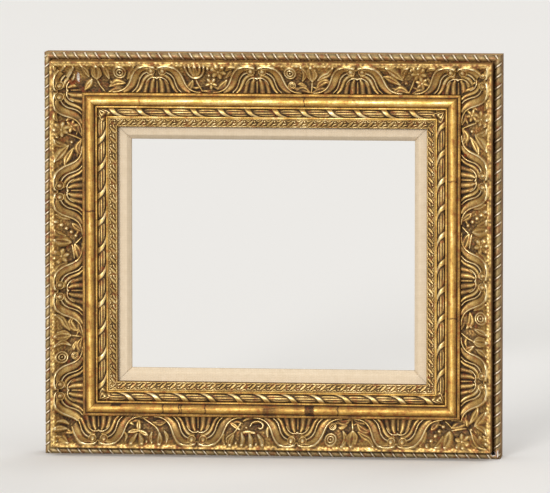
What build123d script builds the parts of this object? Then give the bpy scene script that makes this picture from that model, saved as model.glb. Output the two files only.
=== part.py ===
from build123d import *
import os
from math import cos, hypot, radians, sin, sqrt

# Gilded picture frame with a linen-covered liner, empty, standing on its lower edge.
# Units are millimetres. The front faces -Y, +X is to the right and +Z is up.
# The origin is the centre of the flat lower edge that the frame stands on.
# Across a rail, d is the distance inward from the outer edge and h the height above the back.

# Opening of the liner, as a viewer sees it
sight_width = 260.0
sight_height = 210.0

# Liner: wooden rails covered with linen
liner_face = 12.0
liner_bevel = 3.8
liner_flat_height = 21.9
liner_edge_height = 18.0
liner_ledge_height = 16.0
liner_back_height = 3.0
picture_rabbet = 4.4
linen_thickness = 0.6

# Widths across the gilded moulding, from the outer edge to the lip
rope_width = 7.4
crest_width = 2.6
cove_width = 26.4
outer_fillet = 2.4
quirk = 0.6
torus_radius = 4.2
middle_fillet = 1.6
ribbon_width = 7.8
inner_fillet = 1.6
leaf_band_width = 8.2

# Heights of the moulding above its back
rope_ledge_height = 24.0
crest_height = 44.0
cove_foot_height = 29.0
cove_radius = 26.0
outer_fillet_height = 36.9
torus_height = 41.2
quirk_depth = 0.8
middle_fillet_height = 36.8
ribbon_bed_height = 32.4
inner_fillet_height = 33.7
leaf_bed_height = 31.4
lip_height = 28.6
rabbet_width = 6.6
rabbet_shoulder_height = 22.6

# Rope edge: slanted strands on a bead
rope_height = 6.6
rope_strip_height = 3.2
strand_pitch = 9.65
strand_width = 7.0
strand_slant = 5.2
strand_flats = 2

# Ribbon twist: a rod wrapped by a ribbon
rod_height = 3.4
rod_flats = 3
wrap_relief = 0.9
wrap_pitch = 25.0
wrap_width = 6.0
wrap_slant = 6.6
corner_leaf_reach = 7.0
corner_leaf_relief = 1.0

# Leaf band at the lip
leaf_band_thickness = 0.9
leaf_relief = 1.1
leaf_pitch = 9.2
leaf_gap = 0.8
leaf_margin = 0.7

# Foliage in the cove: palmettes at a steady pitch with flower sprays between them
palmette_pitch = 92.0
palmette_start = {"top": 12.7, "right": 21.7, "bottom": 1.1, "left": 58.9}
foliage_backing = 1.2
foliage_relief = 2.6
rim_relief = 3.0
fan_root = 6.2
fan_length = 18.5
fan_notch = 12.0
fan_lobes = 5
fan_step = 27.0
lobe_half_step = 5.4
# A scroll's outline runs from its volute down its outer edge to the cove's foot and back, as (s, d)
# with d counted here, and in the sprays below, from the cove's outer edge
scroll_outline = (
    (8.0, 0.8),
    (11.0, 8.2),
    (17.5, 15.7),
    (31.0, 20.2),
    (31.0, 24.8),
    (14.5, 19.2),
    (6.5, 10.2),
)
volute_spread = 6.0
volute_place = 3.7
volute_radius = 3.0
boss_sides = 6
petal_notch = 0.6
cove_flats = 3
# Each spray lists flowers (s, d, petals, reach), leaves (start, end, half width) and berries (s, d, radius),
# with s counted from the middle of the space between two palmettes
spray_pieces = {
    "rose": (
        [(-13, 6.7, 6, 6.4)],
        [
            ((0, 13.2), (6, 2.2), 2.6),
            ((11, 15.2), (16, 3.2), 2.4),
            ((-4, 18.7), (9, 20.2), 2.2),
            ((20, 5.2), (30, 2.2), 2.0),
        ],
        [],
    ),
    "daisy": (
        [(10, 4.7, 5, 5.2), (13, 13.7, 5, 4.6)],
        [((-6, 11.2), (-18, 2.2), 2.6), ((-2, 18.2), (-14, 20.2), 2.2), ((1, 2.2), (-8, 5.7), 2.0)],
        [],
    ),
    "berry": (
        [(14, 5.2, 5, 5.4)],
        [((-3, 8.2), (6, 3.2), 2.4), ((7, 20.2), (14, 14.7), 2.4), ((22, 4.2), (31, 2.2), 2.0)],
        [(-18, 2.7, 2.0), (-14.5, 6.2, 2.0), (-10.5, 9.7, 2.1), (-6, 13.7, 2.2), (-2, 17.7, 2.1)],
    ),
    "tulip": (
        [(12, 6.2, 6, 6.2)],
        [((-12, 13.2), (-8, 1.7), 3.2), ((-16, 11.2), (-20, 2.2), 2.4), ((2, 18.2), (15, 18.7), 2.4)],
        [(0, 3.7, 2.1)],
    ),
}
# The sprays of each rail in order along it, each with the hand it is turned to
spray_order = {
    "top": (("tulip", 1), ("tulip", 1), ("rose", 1), ("daisy", 1), ("daisy", 1)),
    "right": (("daisy", -1), ("berry", 1), ("tulip", 1), ("daisy", 1)),
    "bottom": (("berry", -1), ("rose", -1), ("daisy", -1), ("tulip", -1), ("daisy", 1)),
    "left": (("daisy", 1), ("rose", 1), ("berry", -1), ("tulip", -1)),
}

# Keys and nails that hold the corners
key_leg = 26.0
key_thickness = 3.0
key_height = 9.0
nail_leg = 5.0
nail_thickness = 0.5
nail_depth = 8.0
brad_length = 20.0
brad_radius = 0.7
brad_height = 8.0
brad_spread = 62.0
# Brads and screw shanks, hidden in the wood, have flats in place of a round
pin_sides = 6
# Small round fittings are drawn with flats too
round_sides = 12

# Turn buttons on the back of the stiles
button_pivot_inset = 4.6
button_reach = 26.0
button_root_radius = 4.5
button_tip_radius = 3.0
button_thickness = 1.2
button_spread = 92.0
button_screw_radius = 1.4
button_screw_length = 12.0
screw_head_radius = 3.0
screw_head_height = 1.6
screw_head_taper = 28.0

# Strap hangers with loose rings on the back of the stiles
hanger_rise = 50.0
hanger_inset = 12.0
strap_length = 30.0
strap_width = 10.0
strap_thickness = 1.2
strap_corner = 4.0
strap_screw_spacing = 14.0
strap_screw_margin = 6.0
hanger_screw_radius = 1.3
hanger_screw_length = 11.0
barrel_wall = 1.1
ring_wire_radius = 1.1
ring_bar = 15.0
ring_reach = 11.0
ring_corner = 5.0
ring_bend = 1.7
ring_foot = 1.8
wire_sides = 8

# Clearances
seat_clearance = 0.1
liner_clearance = 0.3
pin_clearance = 0.05
running_clearance = 0.3

# Places across the moulding, added up from the widths
crest_start = rope_width
cove_start = crest_start + crest_width
cove_end = cove_start + cove_width
outer_fillet_end = cove_end + outer_fillet
torus_start = outer_fillet_end + quirk
torus_end = torus_start + 2 * torus_radius
middle_fillet_start = torus_end + quirk
ribbon_start = middle_fillet_start + middle_fillet
ribbon_end = ribbon_start + ribbon_width
leaf_start = ribbon_end + inner_fillet
moulding_width = leaf_start + leaf_band_width
rabbet_wall = moulding_width - rabbet_width
sight_edge = moulding_width + liner_face
liner_outer = rabbet_wall + liner_clearance
foliage_end = cove_end - seat_clearance
liner_sight = sight_edge - linen_thickness
picture_wall = liner_sight - picture_rabbet
torus_centre_height = torus_height - torus_radius
quirk_height = torus_centre_height - quirk_depth
front_room = 2 * crest_height

outer_width = sight_width + 2 * sight_edge
outer_height = sight_height + 2 * sight_edge
back = rope_ledge_height / 2
sides = ("top", "right", "bottom", "left")
rail_length = {"top": outer_width, "right": outer_height, "bottom": outer_width, "left": outer_height}
towards_viewer = (0, -1, 0)
# On each rail's plane, x runs along the rail, y points outward and z towards the viewer.
rail_plane = {
    "top": Plane((0, back, outer_height), x_dir=(1, 0, 0), z_dir=towards_viewer),
    "right": Plane((outer_width / 2, back, outer_height / 2), x_dir=(0, 0, -1), z_dir=towards_viewer),
    "bottom": Plane((0, back, 0), x_dir=(-1, 0, 0), z_dir=towards_viewer),
    "left": Plane((-outer_width / 2, back, outer_height / 2), x_dir=(0, 0, 1), z_dir=towards_viewer),
}
rail_name = {"top": "top_rail", "right": "right_stile", "bottom": "bottom_rail", "left": "left_stile"}

# Centre of the cove's arc, from its two ends and its radius
cove_chord = hypot(cove_width, crest_height - cove_foot_height)
cove_rise = sqrt(cove_radius**2 - (cove_chord / 2) ** 2)
cove_centre_d = (cove_start + cove_end) / 2 + cove_rise * (crest_height - cove_foot_height) / cove_chord
cove_centre_h = (crest_height + cove_foot_height) / 2 + cove_rise * cove_width / cove_chord

os.makedirs("parts", exist_ok=True)


def save(builder, name):
    """Label a finished piece and write it to its own file."""
    builder.part.label = name
    export_step(builder.part, f"parts/{name}.step")


def at(d, h):
    """A point of a rail's section."""
    return (-d, h)


def section_of(side):
    """The plane across a rail at mid length."""
    plane = rail_plane[side]
    return Plane(plane.origin, x_dir=plane.y_dir, z_dir=plane.x_dir)


def mitre_outline(side, setback=0.0, depth=sight_edge):
    """The rail seen from the front, between its two mitres."""
    half = rail_length[side] / 2 - setback
    with BuildSketch(rail_plane[side].offset(-rope_ledge_height)) as outline:
        Polygon((-half, 0), (half, 0), (half - depth, -depth), (depth - half, -depth), align=None)
    return outline.sketch


def keep_between_mitres(side, setback=0.0):
    """Trim the piece being built at the rail's two mitres."""
    extrude(mitre_outline(side, setback), amount=front_room + rope_ledge_height, mode=Mode.INTERSECT)


def cove_point(d, lift):
    """A point on the cove, lifted off the wood towards the middle of its arc."""
    run = d - cove_centre_d
    fall = sqrt(cove_radius**2 - run**2)
    scale = 1 - lift / cove_radius
    return at(cove_centre_d + run * scale, cove_centre_h - fall * scale)


def cove_curve(start, end, lift=0.0):
    """The cove's arc from start to end, as three points of a section."""
    return [cove_point(d, lift) for d in (start, (start + end) / 2, end)]


# Mitre keys: thin wooden triangles let into saw cuts across the outer corners
def corner_key(side, clearance):
    """The key at the far end of a rail, in plan."""
    half = rail_length[side] / 2
    leg = key_leg + clearance
    with BuildSketch(rail_plane[side].offset(key_height - clearance)) as outline:
        Polygon((half, 0), (half - leg, 0), (half, -leg), align=None)
    return outline.sketch


def key_cut(clearance):
    """All four keys, or the cuts that take them."""
    with BuildPart() as keys:
        for side in sides:
            extrude(corner_key(side, clearance), amount=key_thickness + 2 * clearance)
    return keys


mitre_keys = key_cut(0.0)
key_slots = key_cut(pin_clearance)
save(mitre_keys, "mitre_keys")


# Liner nails: a bent steel strip driven into the back of each liner mitre
def liner_nail(side):
    """Outline of the nail at the far end of a rail, with its bend on the mitre."""
    half = rail_length[side] / 2
    d = (liner_outer + picture_wall) / 2
    t = nail_thickness / 2
    with BuildSketch(rail_plane[side].offset(liner_back_height)) as outline:
        Polygon(
            (half - d - nail_leg, t - d),
            (half - d + t, t - d),
            (half - d + t, -d - nail_leg),
            (half - d - t, -d - nail_leg),
            (half - d - t, -d - t),
            (half - d - nail_leg, -d - t),
            align=None,
        )
    return outline.sketch


with BuildPart() as liner_nails:
    for side in sides:
        extrude(liner_nail(side), amount=nail_depth)
save(liner_nails, "liner_nails")


# Liner brads: driven outward through the liner into the rabbet wall, two on each side
def brads(clearance):
    """All the brads, or the holes that take them."""
    with BuildPart() as pins:
        for side in sides:
            plane = rail_plane[side]
            start = plane.from_local_coords((0, -picture_wall, brad_height))
            seat = Plane(start, x_dir=plane.x_dir, z_dir=plane.y_dir)
            with BuildSketch(seat):
                with Locations((-brad_spread, 0), (brad_spread, 0)):
                    RegularPolygon(brad_radius + clearance, pin_sides)
            extrude(amount=brad_length + clearance)
    return pins


liner_brads = brads(0.0)
brad_holes = brads(pin_clearance)
save(liner_brads, "liner_brads")

# Back fittings: each stile has two turn buttons and one strap hanger
button_pivot = rabbet_wall - button_pivot_inset
strap_end = hanger_inset + strap_length
barrel_bore = ring_wire_radius + running_clearance
barrel_radius = barrel_bore + barrel_wall
first_hanger_screw = hanger_inset + strap_screw_margin
hanger_screws_at = (first_hanger_screw, first_hanger_screw + strap_screw_spacing)


def stile_up(side):
    """The sign that turns a height above the middle into a place along the stile."""
    return 1 if side == "left" else -1


def pivot_places(side):
    """Where the turn buttons pivot on a stile's back."""
    return [(stile_up(side) * rise, -button_pivot) for rise in (button_spread, -button_spread)]


def strap_screw_places(side):
    """Where the strap hanger's screws go in."""
    return [(stile_up(side) * hanger_rise, -d) for d in hanger_screws_at]


def behind(side, gap):
    """A plane on the frame's back, facing away from the viewer, at some gap from it."""
    plane = rail_plane[side]
    return Plane(plane.from_local_coords((0, 0, -gap)), x_dir=plane.x_dir, z_dir=(0, 1, 0))


def flip(places):
    """Places along and across a rail, as seen from behind."""
    return [(s, -u) for s, u in places]


def screws(places_of, radius, length, head_gap):
    """Round-head screws on both stiles, driven into the back."""
    with BuildPart() as group:
        for side in ("left", "right"):
            spots = flip(places_of(side))
            with BuildSketch(behind(side, head_gap)):
                with Locations(*spots):
                    RegularPolygon(radius, pin_sides)
            extrude(amount=-length - head_gap)
            with BuildSketch(behind(side, head_gap)):
                with Locations(*spots):
                    RegularPolygon(screw_head_radius, round_sides)
            extrude(amount=screw_head_height, taper=screw_head_taper)
    return group


button_gap = running_clearance + button_thickness + running_clearance
button_screws = screws(pivot_places, button_screw_radius, button_screw_length, button_gap)
save(button_screws, "turn_button_screws")
hanger_screws = screws(strap_screw_places, hanger_screw_radius, hanger_screw_length, strap_thickness)
save(hanger_screws, "hanger_screws")


def screw_holes(side):
    """Pilot holes in a stile's back for its screws."""
    with BuildPart() as holes:
        with BuildSketch(rail_plane[side]):
            with Locations(*pivot_places(side)):
                RegularPolygon(button_screw_radius + pin_clearance, pin_sides)
        extrude(amount=button_screw_length + pin_clearance)
        with BuildSketch(rail_plane[side]):
            with Locations(*strap_screw_places(side)):
                RegularPolygon(hanger_screw_radius + pin_clearance, pin_sides)
        extrude(amount=hanger_screw_length + pin_clearance)
    return holes.part


# Moulded wooden rails: one profile, mitred at both ends
def moulding_rail(side):
    """A length of the moulding with its rabbet, key cuts and holes."""
    with BuildPart() as rail:
        with BuildSketch(section_of(side)):
            with BuildLine():
                Polyline(
                    at(cove_start, crest_height),
                    at(crest_start, crest_height),
                    at(crest_start, rope_ledge_height),
                    at(0, rope_ledge_height),
                    at(0, 0),
                    at(rabbet_wall, 0),
                    at(rabbet_wall, rabbet_shoulder_height),
                    at(moulding_width, rabbet_shoulder_height),
                    at(moulding_width, lip_height),
                    at(leaf_start, leaf_bed_height),
                    at(leaf_start, inner_fillet_height),
                    at(ribbon_end, inner_fillet_height),
                    at(ribbon_end, ribbon_bed_height),
                    at(ribbon_start, ribbon_bed_height),
                    at(ribbon_start, middle_fillet_height),
                    at(middle_fillet_start, middle_fillet_height),
                    at(middle_fillet_start, quirk_height),
                    at(torus_end, quirk_height),
                    at(torus_end, torus_centre_height),
                )
                ThreePointArc(
                    at(torus_end, torus_centre_height),
                    at(torus_start + torus_radius, torus_height),
                    at(torus_start, torus_centre_height),
                )
                Polyline(
                    at(torus_start, torus_centre_height),
                    at(torus_start, quirk_height),
                    at(outer_fillet_end, quirk_height),
                    at(outer_fillet_end, outer_fillet_height),
                    at(cove_end, outer_fillet_height),
                    at(cove_end, cove_foot_height),
                )
                ThreePointArc(*reversed(cove_curve(cove_start, cove_end)))
            make_face()
        extrude(amount=rail_length[side] / 2, both=True)
        keep_between_mitres(side)
        add(key_slots.part, mode=Mode.SUBTRACT)
        add(brad_holes.part, mode=Mode.SUBTRACT)
        if side in ("left", "right"):
            add(screw_holes(side), mode=Mode.SUBTRACT)
    return rail


for side in sides:
    save(moulding_rail(side), rail_name[side])


# Liner rails with their linen
liner_front = [
    at(liner_outer, liner_ledge_height),
    at(liner_sight, liner_ledge_height),
    at(liner_sight, liner_edge_height),
    at(liner_sight - liner_bevel, liner_flat_height),
    at(liner_outer, liner_flat_height),
]


def liner_rail(side):
    """A bevelled wooden liner rail with the rabbet that takes the picture."""
    with BuildPart() as rail:
        with BuildSketch(section_of(side)):
            Polygon(
                at(liner_outer, liner_back_height),
                at(picture_wall, liner_back_height),
                at(picture_wall, liner_ledge_height),
                *liner_front[1:],
                align=None,
            )
        extrude(amount=rail_length[side] / 2, both=True)
        keep_between_mitres(side)
        add(liner_nails.part, mode=Mode.SUBTRACT)
        add(brad_holes.part, mode=Mode.SUBTRACT)
    return rail


def linen_cover(side):
    """Linen glued over a liner rail's face, bevel and sight edge."""
    with BuildPart() as cover:
        with BuildSketch(section_of(side)):
            Polygon(*liner_front, align=None)
            offset(amount=linen_thickness, kind=Kind.INTERSECTION)
            Polygon(*liner_front, align=None, mode=Mode.SUBTRACT)
            Polygon(
                at(liner_outer, liner_ledge_height),
                at(sight_edge, liner_ledge_height),
                at(sight_edge, front_room),
                at(liner_outer, front_room),
                align=None,
                mode=Mode.INTERSECT,
            )
        extrude(amount=rail_length[side] / 2, both=True)
        keep_between_mitres(side)
    return cover


for side in sides:
    save(liner_rail(side), f"liner_{side}")
    save(linen_cover(side), f"linen_{side}")


# Rope edge and ribbon twist: a faceted bead with slanted bands wound round it
def bead_outline(start, width, seat, height, flats):
    """A half-round bead on its seat, as flats of a section."""
    middle = start + width / 2
    points = []
    for step in range(flats + 1):
        angle = radians(180 * step / flats)
        points.append(at(middle - width / 2 * cos(angle), seat + height * sin(angle)))
    return points


def wound_bead(side, core, raised, pitch, band, slant, setback):
    """A core with slanted bands of a raised section across it, trimmed at the mitres."""
    length = rail_length[side]
    count = int(length / pitch) + 1
    start, seat = -raised[0][0], raised[0][1]
    width = raised[0][0] - raised[-1][0]
    band_shape = [
        (-(band + slant) / 2, -start),
        ((band - slant) / 2, -start),
        ((band + slant) / 2, -start - width),
        ((slant - band) / 2, -start - width),
    ]
    with BuildPart() as bands:
        with BuildSketch(section_of(side)):
            Polygon(*raised, align=None)
        extrude(amount=length / 2, both=True)
        with BuildSketch(rail_plane[side].offset(seat)):
            with Locations(*[((i - (count - 1) / 2) * pitch, 0) for i in range(count)]):
                Polygon(*band_shape, align=None)
        extrude(amount=front_room, mode=Mode.INTERSECT)
    with BuildPart() as bead:
        with BuildSketch(section_of(side)):
            Polygon(*core, align=None)
        extrude(amount=length / 2, both=True)
        add(bands.part)
        keep_between_mitres(side, setback)
    return bead


def rope_edge(side):
    """The rope bead on the ledge outside the crest, its strands on a low strip."""
    start = seat_clearance
    width = rope_width - 2 * seat_clearance
    strip_top = rope_ledge_height + rope_strip_height
    strip = [
        at(start, rope_ledge_height),
        at(start + width, rope_ledge_height),
        at(start + width, strip_top),
        at(start, strip_top),
    ]
    strand = bead_outline(start, width, strip_top, rope_height - rope_strip_height, strand_flats)
    return wound_bead(side, strip, strand, strand_pitch, strand_width, strand_slant, 0.0)


def ribbon_twist(side):
    """The rod wrapped by a ribbon, between the two inner fillets."""
    start = ribbon_start + seat_clearance
    width = ribbon_width - 2 * seat_clearance
    rod = bead_outline(start, width, ribbon_bed_height, rod_height, rod_flats)
    wrap = bead_outline(start, width, ribbon_bed_height, rod_height + wrap_relief, rod_flats)
    return wound_bead(side, rod, wrap, wrap_pitch, wrap_width, wrap_slant, corner_leaf_reach)


def corner_leaf_pair(side):
    """The half leaves at both ends of one ribbon run."""
    start = ribbon_start + seat_clearance
    width = ribbon_width - 2 * seat_clearance
    height = rod_height + wrap_relief + corner_leaf_relief
    with BuildPart() as halves:
        with BuildSketch(section_of(side)):
            Polygon(*bead_outline(start, width, ribbon_bed_height, height, rod_flats), align=None)
        extrude(amount=rail_length[side] / 2, both=True)
        keep_between_mitres(side)
        middle = mitre_outline(side, corner_leaf_reach - seat_clearance)
        extrude(middle, amount=front_room + rope_ledge_height, mode=Mode.SUBTRACT)
    return halves.part


with BuildPart() as corner_leaves:
    for side in sides:
        add(corner_leaf_pair(side))
save(corner_leaves, "ribbon_corner_leaves")

for side in sides:
    save(rope_edge(side), f"rope_{side}")
    save(ribbon_twist(side), f"ribbon_{side}")


# Leaf band: a row of ridged leaves on the slope down to the lip
leaf_slope = hypot(leaf_band_width, leaf_bed_height - lip_height)


def leaf_plane(side):
    """The face of the band, x along the rail and y up the slope, from the middle of the slope."""
    plane = rail_plane[side]
    middle_d = (leaf_start + moulding_width) / 2
    middle_h = (leaf_bed_height + lip_height) / 2
    fall = plane.y_dir * leaf_band_width + plane.z_dir * (leaf_bed_height - lip_height)
    face = Plane(
        plane.from_local_coords((0, -middle_d, middle_h)),
        x_dir=plane.x_dir,
        z_dir=plane.x_dir.cross(fall),
    )
    return face.offset(leaf_band_thickness)


with BuildPart() as band_leaf:
    half_width = (leaf_pitch - leaf_gap) / 2
    half_length = leaf_slope / 2 - leaf_margin
    with BuildSketch(Plane.XY.offset(-leaf_band_thickness / 2)) as leaf_foot:
        Polygon(
            (0, -half_length),
            (half_width, half_length / 2),
            (0, half_length),
            (-half_width, half_length / 2),
            align=None,
        )
    loft([leaf_foot.sketch.face(), Vertex(0, half_length / 2, leaf_relief)], ruled=True, clean=False)


def leaf_band(side):
    """The leaf run along one side of the lip."""
    run = rail_length[side] - 2 * moulding_width
    count = int(run / leaf_pitch)
    upper_end = leaf_start + seat_clearance
    upper_seat = leaf_bed_height - (leaf_bed_height - lip_height) * seat_clearance / leaf_band_width
    with BuildPart(leaf_plane(side)) as band:
        with BuildSketch(section_of(side)):
            Polygon(
                at(upper_end, upper_seat),
                at(moulding_width, lip_height),
                at(moulding_width, lip_height + leaf_band_thickness),
                at(upper_end, leaf_bed_height + leaf_band_thickness),
                align=None,
            )
        extrude(amount=rail_length[side] / 2, both=True)
        with Locations(*[((i - (count - 1) / 2) * leaf_pitch, 0, 0) for i in range(count)]):
            add(band_leaf.part)
        keep_between_mitres(side)
    return band


for side in sides:
    save(leaf_band(side), f"leaf_band_{side}")


# Foliage: palmettes and flower sprays, drawn in plan and raised off a thin backing in the cove
def fan_point(angle, reach):
    """A point of the fan, by its angle off the middle lobe and its distance from the root."""
    return (reach * sin(radians(angle)), -fan_root - reach * cos(radians(angle)))


fan_outline = [(0, -fan_root)]
for lobe in range(fan_lobes):
    angle = (lobe - (fan_lobes - 1) / 2) * fan_step
    fan_outline.append(fan_point(angle - lobe_half_step, fan_length))
    fan_outline.append(fan_point(angle + lobe_half_step, fan_length))
    if lobe < fan_lobes - 1:
        fan_outline.append(fan_point(angle + fan_step / 2, fan_notch))

with BuildSketch() as palmette:
    Polygon(*fan_outline, align=None)
    for hand in (-1, 1):
        Polygon(*[(hand * s, -d) for s, d in scroll_outline], align=None)
        with Locations((hand * volute_spread, -volute_place)):
            RegularPolygon(volute_radius, boss_sides)


def flower(s, d, petals, reach):
    """A flower with pointed petals, in plan."""
    points = []
    for step in range(2 * petals):
        angle = radians(180 * step / petals)
        radius = reach if step % 2 == 0 else reach * petal_notch
        points.append((s + radius * cos(angle), radius * sin(angle) - d))
    with BuildSketch() as bloom:
        Polygon(*points, align=None)
    return bloom.sketch


def leaf(start, end, half_width):
    """A pointed leaf from one place on the cove to another, in plan."""
    from_point, to_point = Vector(start[0], -start[1]), Vector(end[0], -end[1])
    across = (to_point - from_point).normalized().rotate(Axis.Z, 90) * half_width
    middle = (from_point + to_point) / 2
    with BuildSketch() as blade:
        Polygon(from_point, middle + across, to_point, middle - across, align=None)
    return blade.sketch


def berry(s, d, radius):
    """A single round berry, in plan."""
    with BuildSketch() as ball:
        with Locations((s, -d)):
            RegularPolygon(radius, boss_sides)
    return ball.sketch


def spray(name, hand):
    """Flowers, leaves and berries that fill the space between two palmettes, turned to either hand."""
    blooms, leaves, berries = spray_pieces[name]
    with BuildSketch() as group:
        for s, d, petals, reach in blooms:
            add(flower(hand * s, d, petals, reach))
        for (s1, d1), (s2, d2), half_width in leaves:
            add(leaf((hand * s1, d1), (hand * s2, d2), half_width))
        for s, d, radius in berries:
            add(berry(hand * s, d, radius))
    return group.sketch


def cove_layer(side, low, high):
    """The space between two lifts off the cove, across the section, with flats on its face."""
    with BuildSketch(section_of(side)) as layer:
        with BuildLine():
            step = (foliage_end - cove_start) / cove_flats
            lower = cove_curve(cove_start, foliage_end, low)
            upper = [cove_point(foliage_end - i * step, high) for i in range(cove_flats + 1)]
            ThreePointArc(*lower)
            Polyline(lower[2], *upper, lower[0])
        make_face()
    return layer.sketch


def foliage_plan(side):
    """The ornament of one rail, seen from the front."""
    half = rail_length[side] / 2
    first = palmette_start[side] - half
    count = int((half - first) / palmette_pitch) + 1
    with BuildSketch(rail_plane[side]) as plan:
        with Locations(*[(first + i * palmette_pitch, -cove_start) for i in range(count)]):
            add(palmette.sketch)
        for i, (name, hand) in enumerate(spray_order[side]):
            with Locations((first + (i + 0.5) * palmette_pitch, -cove_start)):
                add(spray(name, hand))
    return plan.sketch


def foliage(side):
    """The cove's ornament on one rail, on its backing and with the plain rim along the crest."""
    half = rail_length[side] / 2
    with BuildPart() as relief:
        layer = cove_layer(side, foliage_backing / 2, foliage_backing + foliage_relief)
        extrude(layer, amount=half, both=True)
        extrude(foliage_plan(side), amount=front_room, mode=Mode.INTERSECT)
    with BuildPart() as ornament:
        extrude(cove_layer(side, 0, foliage_backing), amount=half, both=True)
        rim_foot = cove_point(cove_start, foliage_backing)
        with BuildSketch(section_of(side)):
            Polygon(
                at(crest_start, crest_height),
                at(cove_start, crest_height),
                rim_foot,
                (rim_foot[0], crest_height + rim_relief),
                at(crest_start, crest_height + rim_relief),
                align=None,
            )
        extrude(amount=half, both=True)
        add(relief.part)
        keep_between_mitres(side)
    return ornament


for side in sides:
    save(foliage(side), f"foliage_{side}")


# Strap hangers with loose rings, and turn buttons
def strap_hanger(side):
    """A steel strap whose end is rolled into a barrel for the ring."""
    rise = stile_up(side) * hanger_rise
    with BuildPart() as strap:
        with BuildSketch(behind(side, 0)):
            with Locations((rise, hanger_inset + strap_length / 2)):
                Rectangle(strap_width, strap_length)
            fillet(vertices().group_by(Axis.Y)[0], strap_corner)
            with Locations(*flip(strap_screw_places(side))):
                RegularPolygon(hanger_screw_radius + pin_clearance, pin_sides, mode=Mode.SUBTRACT)
        extrude(amount=strap_thickness)
        with BuildSketch(section_of(side).offset(rise)):
            with Locations(at(strap_end, -barrel_radius)):
                RegularPolygon(barrel_radius, round_sides)
        extrude(amount=strap_width / 2, both=True)
        with BuildSketch(section_of(side).offset(rise)):
            with Locations(at(strap_end, -barrel_radius)):
                RegularPolygon(barrel_bore, round_sides)
        extrude(amount=strap_width / 2, both=True, mode=Mode.SUBTRACT)
    return strap


def hanging_ring(side):
    """A closed wire ring with a straight bar through the barrel."""
    rise = stile_up(side) * hanger_rise
    half = ring_bar / 2
    with BuildPart() as ring:
        with BuildLine(behind(side, barrel_radius)) as loop:
            Polyline(
                (rise, strap_end),
                (rise + half - ring_foot, strap_end),
                (rise + half, strap_end + ring_foot),
                (rise + half, strap_end + ring_reach - ring_corner),
                (rise + half - ring_bend, strap_end + ring_reach - ring_bend),
                (rise + half - ring_corner, strap_end + ring_reach),
                (rise - half + ring_corner, strap_end + ring_reach),
                (rise - half + ring_bend, strap_end + ring_reach - ring_bend),
                (rise - half, strap_end + ring_reach - ring_corner),
                (rise - half, strap_end + ring_foot),
                (rise - half + ring_foot, strap_end),
                close=True,
            )
        with BuildSketch(Plane(loop.line @ 0, z_dir=loop.line % 0)):
            RegularPolygon(ring_wire_radius, wire_sides)
        sweep(transition=Transition.RIGHT)
    return ring


def turn_button(side, place):
    """A flat steel button that hangs beside the rabbet and turns over the picture's back."""
    s, u = place
    with BuildPart() as button:
        with BuildSketch(behind(side, running_clearance)):
            with Locations((s, -u)):
                RegularPolygon(button_root_radius, round_sides)
            with Locations((s - stile_up(side) * (button_reach - button_tip_radius), -u)):
                RegularPolygon(button_tip_radius, round_sides)
            make_hull()
            with Locations((s, -u)):
                RegularPolygon(button_screw_radius + running_clearance, round_sides, mode=Mode.SUBTRACT)
        extrude(amount=button_thickness)
    return button


for side in ("left", "right"):
    save(strap_hanger(side), f"strap_hanger_{side}")
    save(hanging_ring(side), f"hanging_ring_{side}")
    for level, place in zip(("upper", "lower"), pivot_places(side)):
        save(turn_button(side, place), f"turn_button_{side}_{level}")
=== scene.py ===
# %% [markdown]
# # A gilded picture frame with a foliage cove
# The real frame is a mitred wooden moulding. Pressed ornament is glued into its hollows, the whole front is
# gilded, and a liner covered in linen stands inside it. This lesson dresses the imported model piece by
# piece: the camera and the light first, then the finishes, then each strip of ornament, and last the
# fittings on the back.

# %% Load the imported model
import math

import bmesh
import bpy
import numpy as np
from mathutils import Matrix, Vector


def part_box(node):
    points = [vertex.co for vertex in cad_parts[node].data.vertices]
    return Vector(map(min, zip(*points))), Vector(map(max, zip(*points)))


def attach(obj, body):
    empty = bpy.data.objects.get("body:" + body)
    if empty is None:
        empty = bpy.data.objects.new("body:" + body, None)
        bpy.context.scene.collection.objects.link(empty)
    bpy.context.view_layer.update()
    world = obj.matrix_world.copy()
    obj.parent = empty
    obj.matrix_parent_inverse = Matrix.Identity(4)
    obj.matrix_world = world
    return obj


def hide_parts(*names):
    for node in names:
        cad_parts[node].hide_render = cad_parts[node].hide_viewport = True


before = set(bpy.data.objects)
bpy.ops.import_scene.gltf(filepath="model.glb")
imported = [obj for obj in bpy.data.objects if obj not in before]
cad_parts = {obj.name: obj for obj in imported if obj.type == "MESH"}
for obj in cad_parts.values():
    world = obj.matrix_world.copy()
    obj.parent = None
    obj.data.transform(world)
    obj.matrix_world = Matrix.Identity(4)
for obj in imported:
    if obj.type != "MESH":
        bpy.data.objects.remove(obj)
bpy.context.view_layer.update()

# %% [markdown]
# Everything on the frame is measured across its moulding. Along a rail, s counts from its middle; across
# it, d counts inward from the outer edge; and h counts from the back towards the viewer. Each strip could
# be drawn four times in the frame's own directions. One function that turns s, d and h into places on any
# rail is shorter: each strip is drawn once and laid on all four. All of these sizes are millimetres.

# %% Sizes across the moulding
MM = 0.001
SIDES = ("top", "right", "bottom", "left")
RAIL_NODE = {"top": "top_rail", "right": "right_stile", "bottom": "bottom_rail", "left": "left_stile"}
rail_low, rail_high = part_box("top_rail")
stile_low, stile_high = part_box("left_stile")
OUTER_WIDTH = (rail_high.x - rail_low.x) / MM
OUTER_HEIGHT = (stile_high.z - stile_low.z) / MM
MOULDING_WIDTH = (rail_high.z - rail_low.z) / MM
BACK = rail_high.y / MM
LENGTH = {"top": OUTER_WIDTH, "right": OUTER_HEIGHT, "bottom": OUTER_WIDTH, "left": OUTER_HEIGHT}
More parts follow.
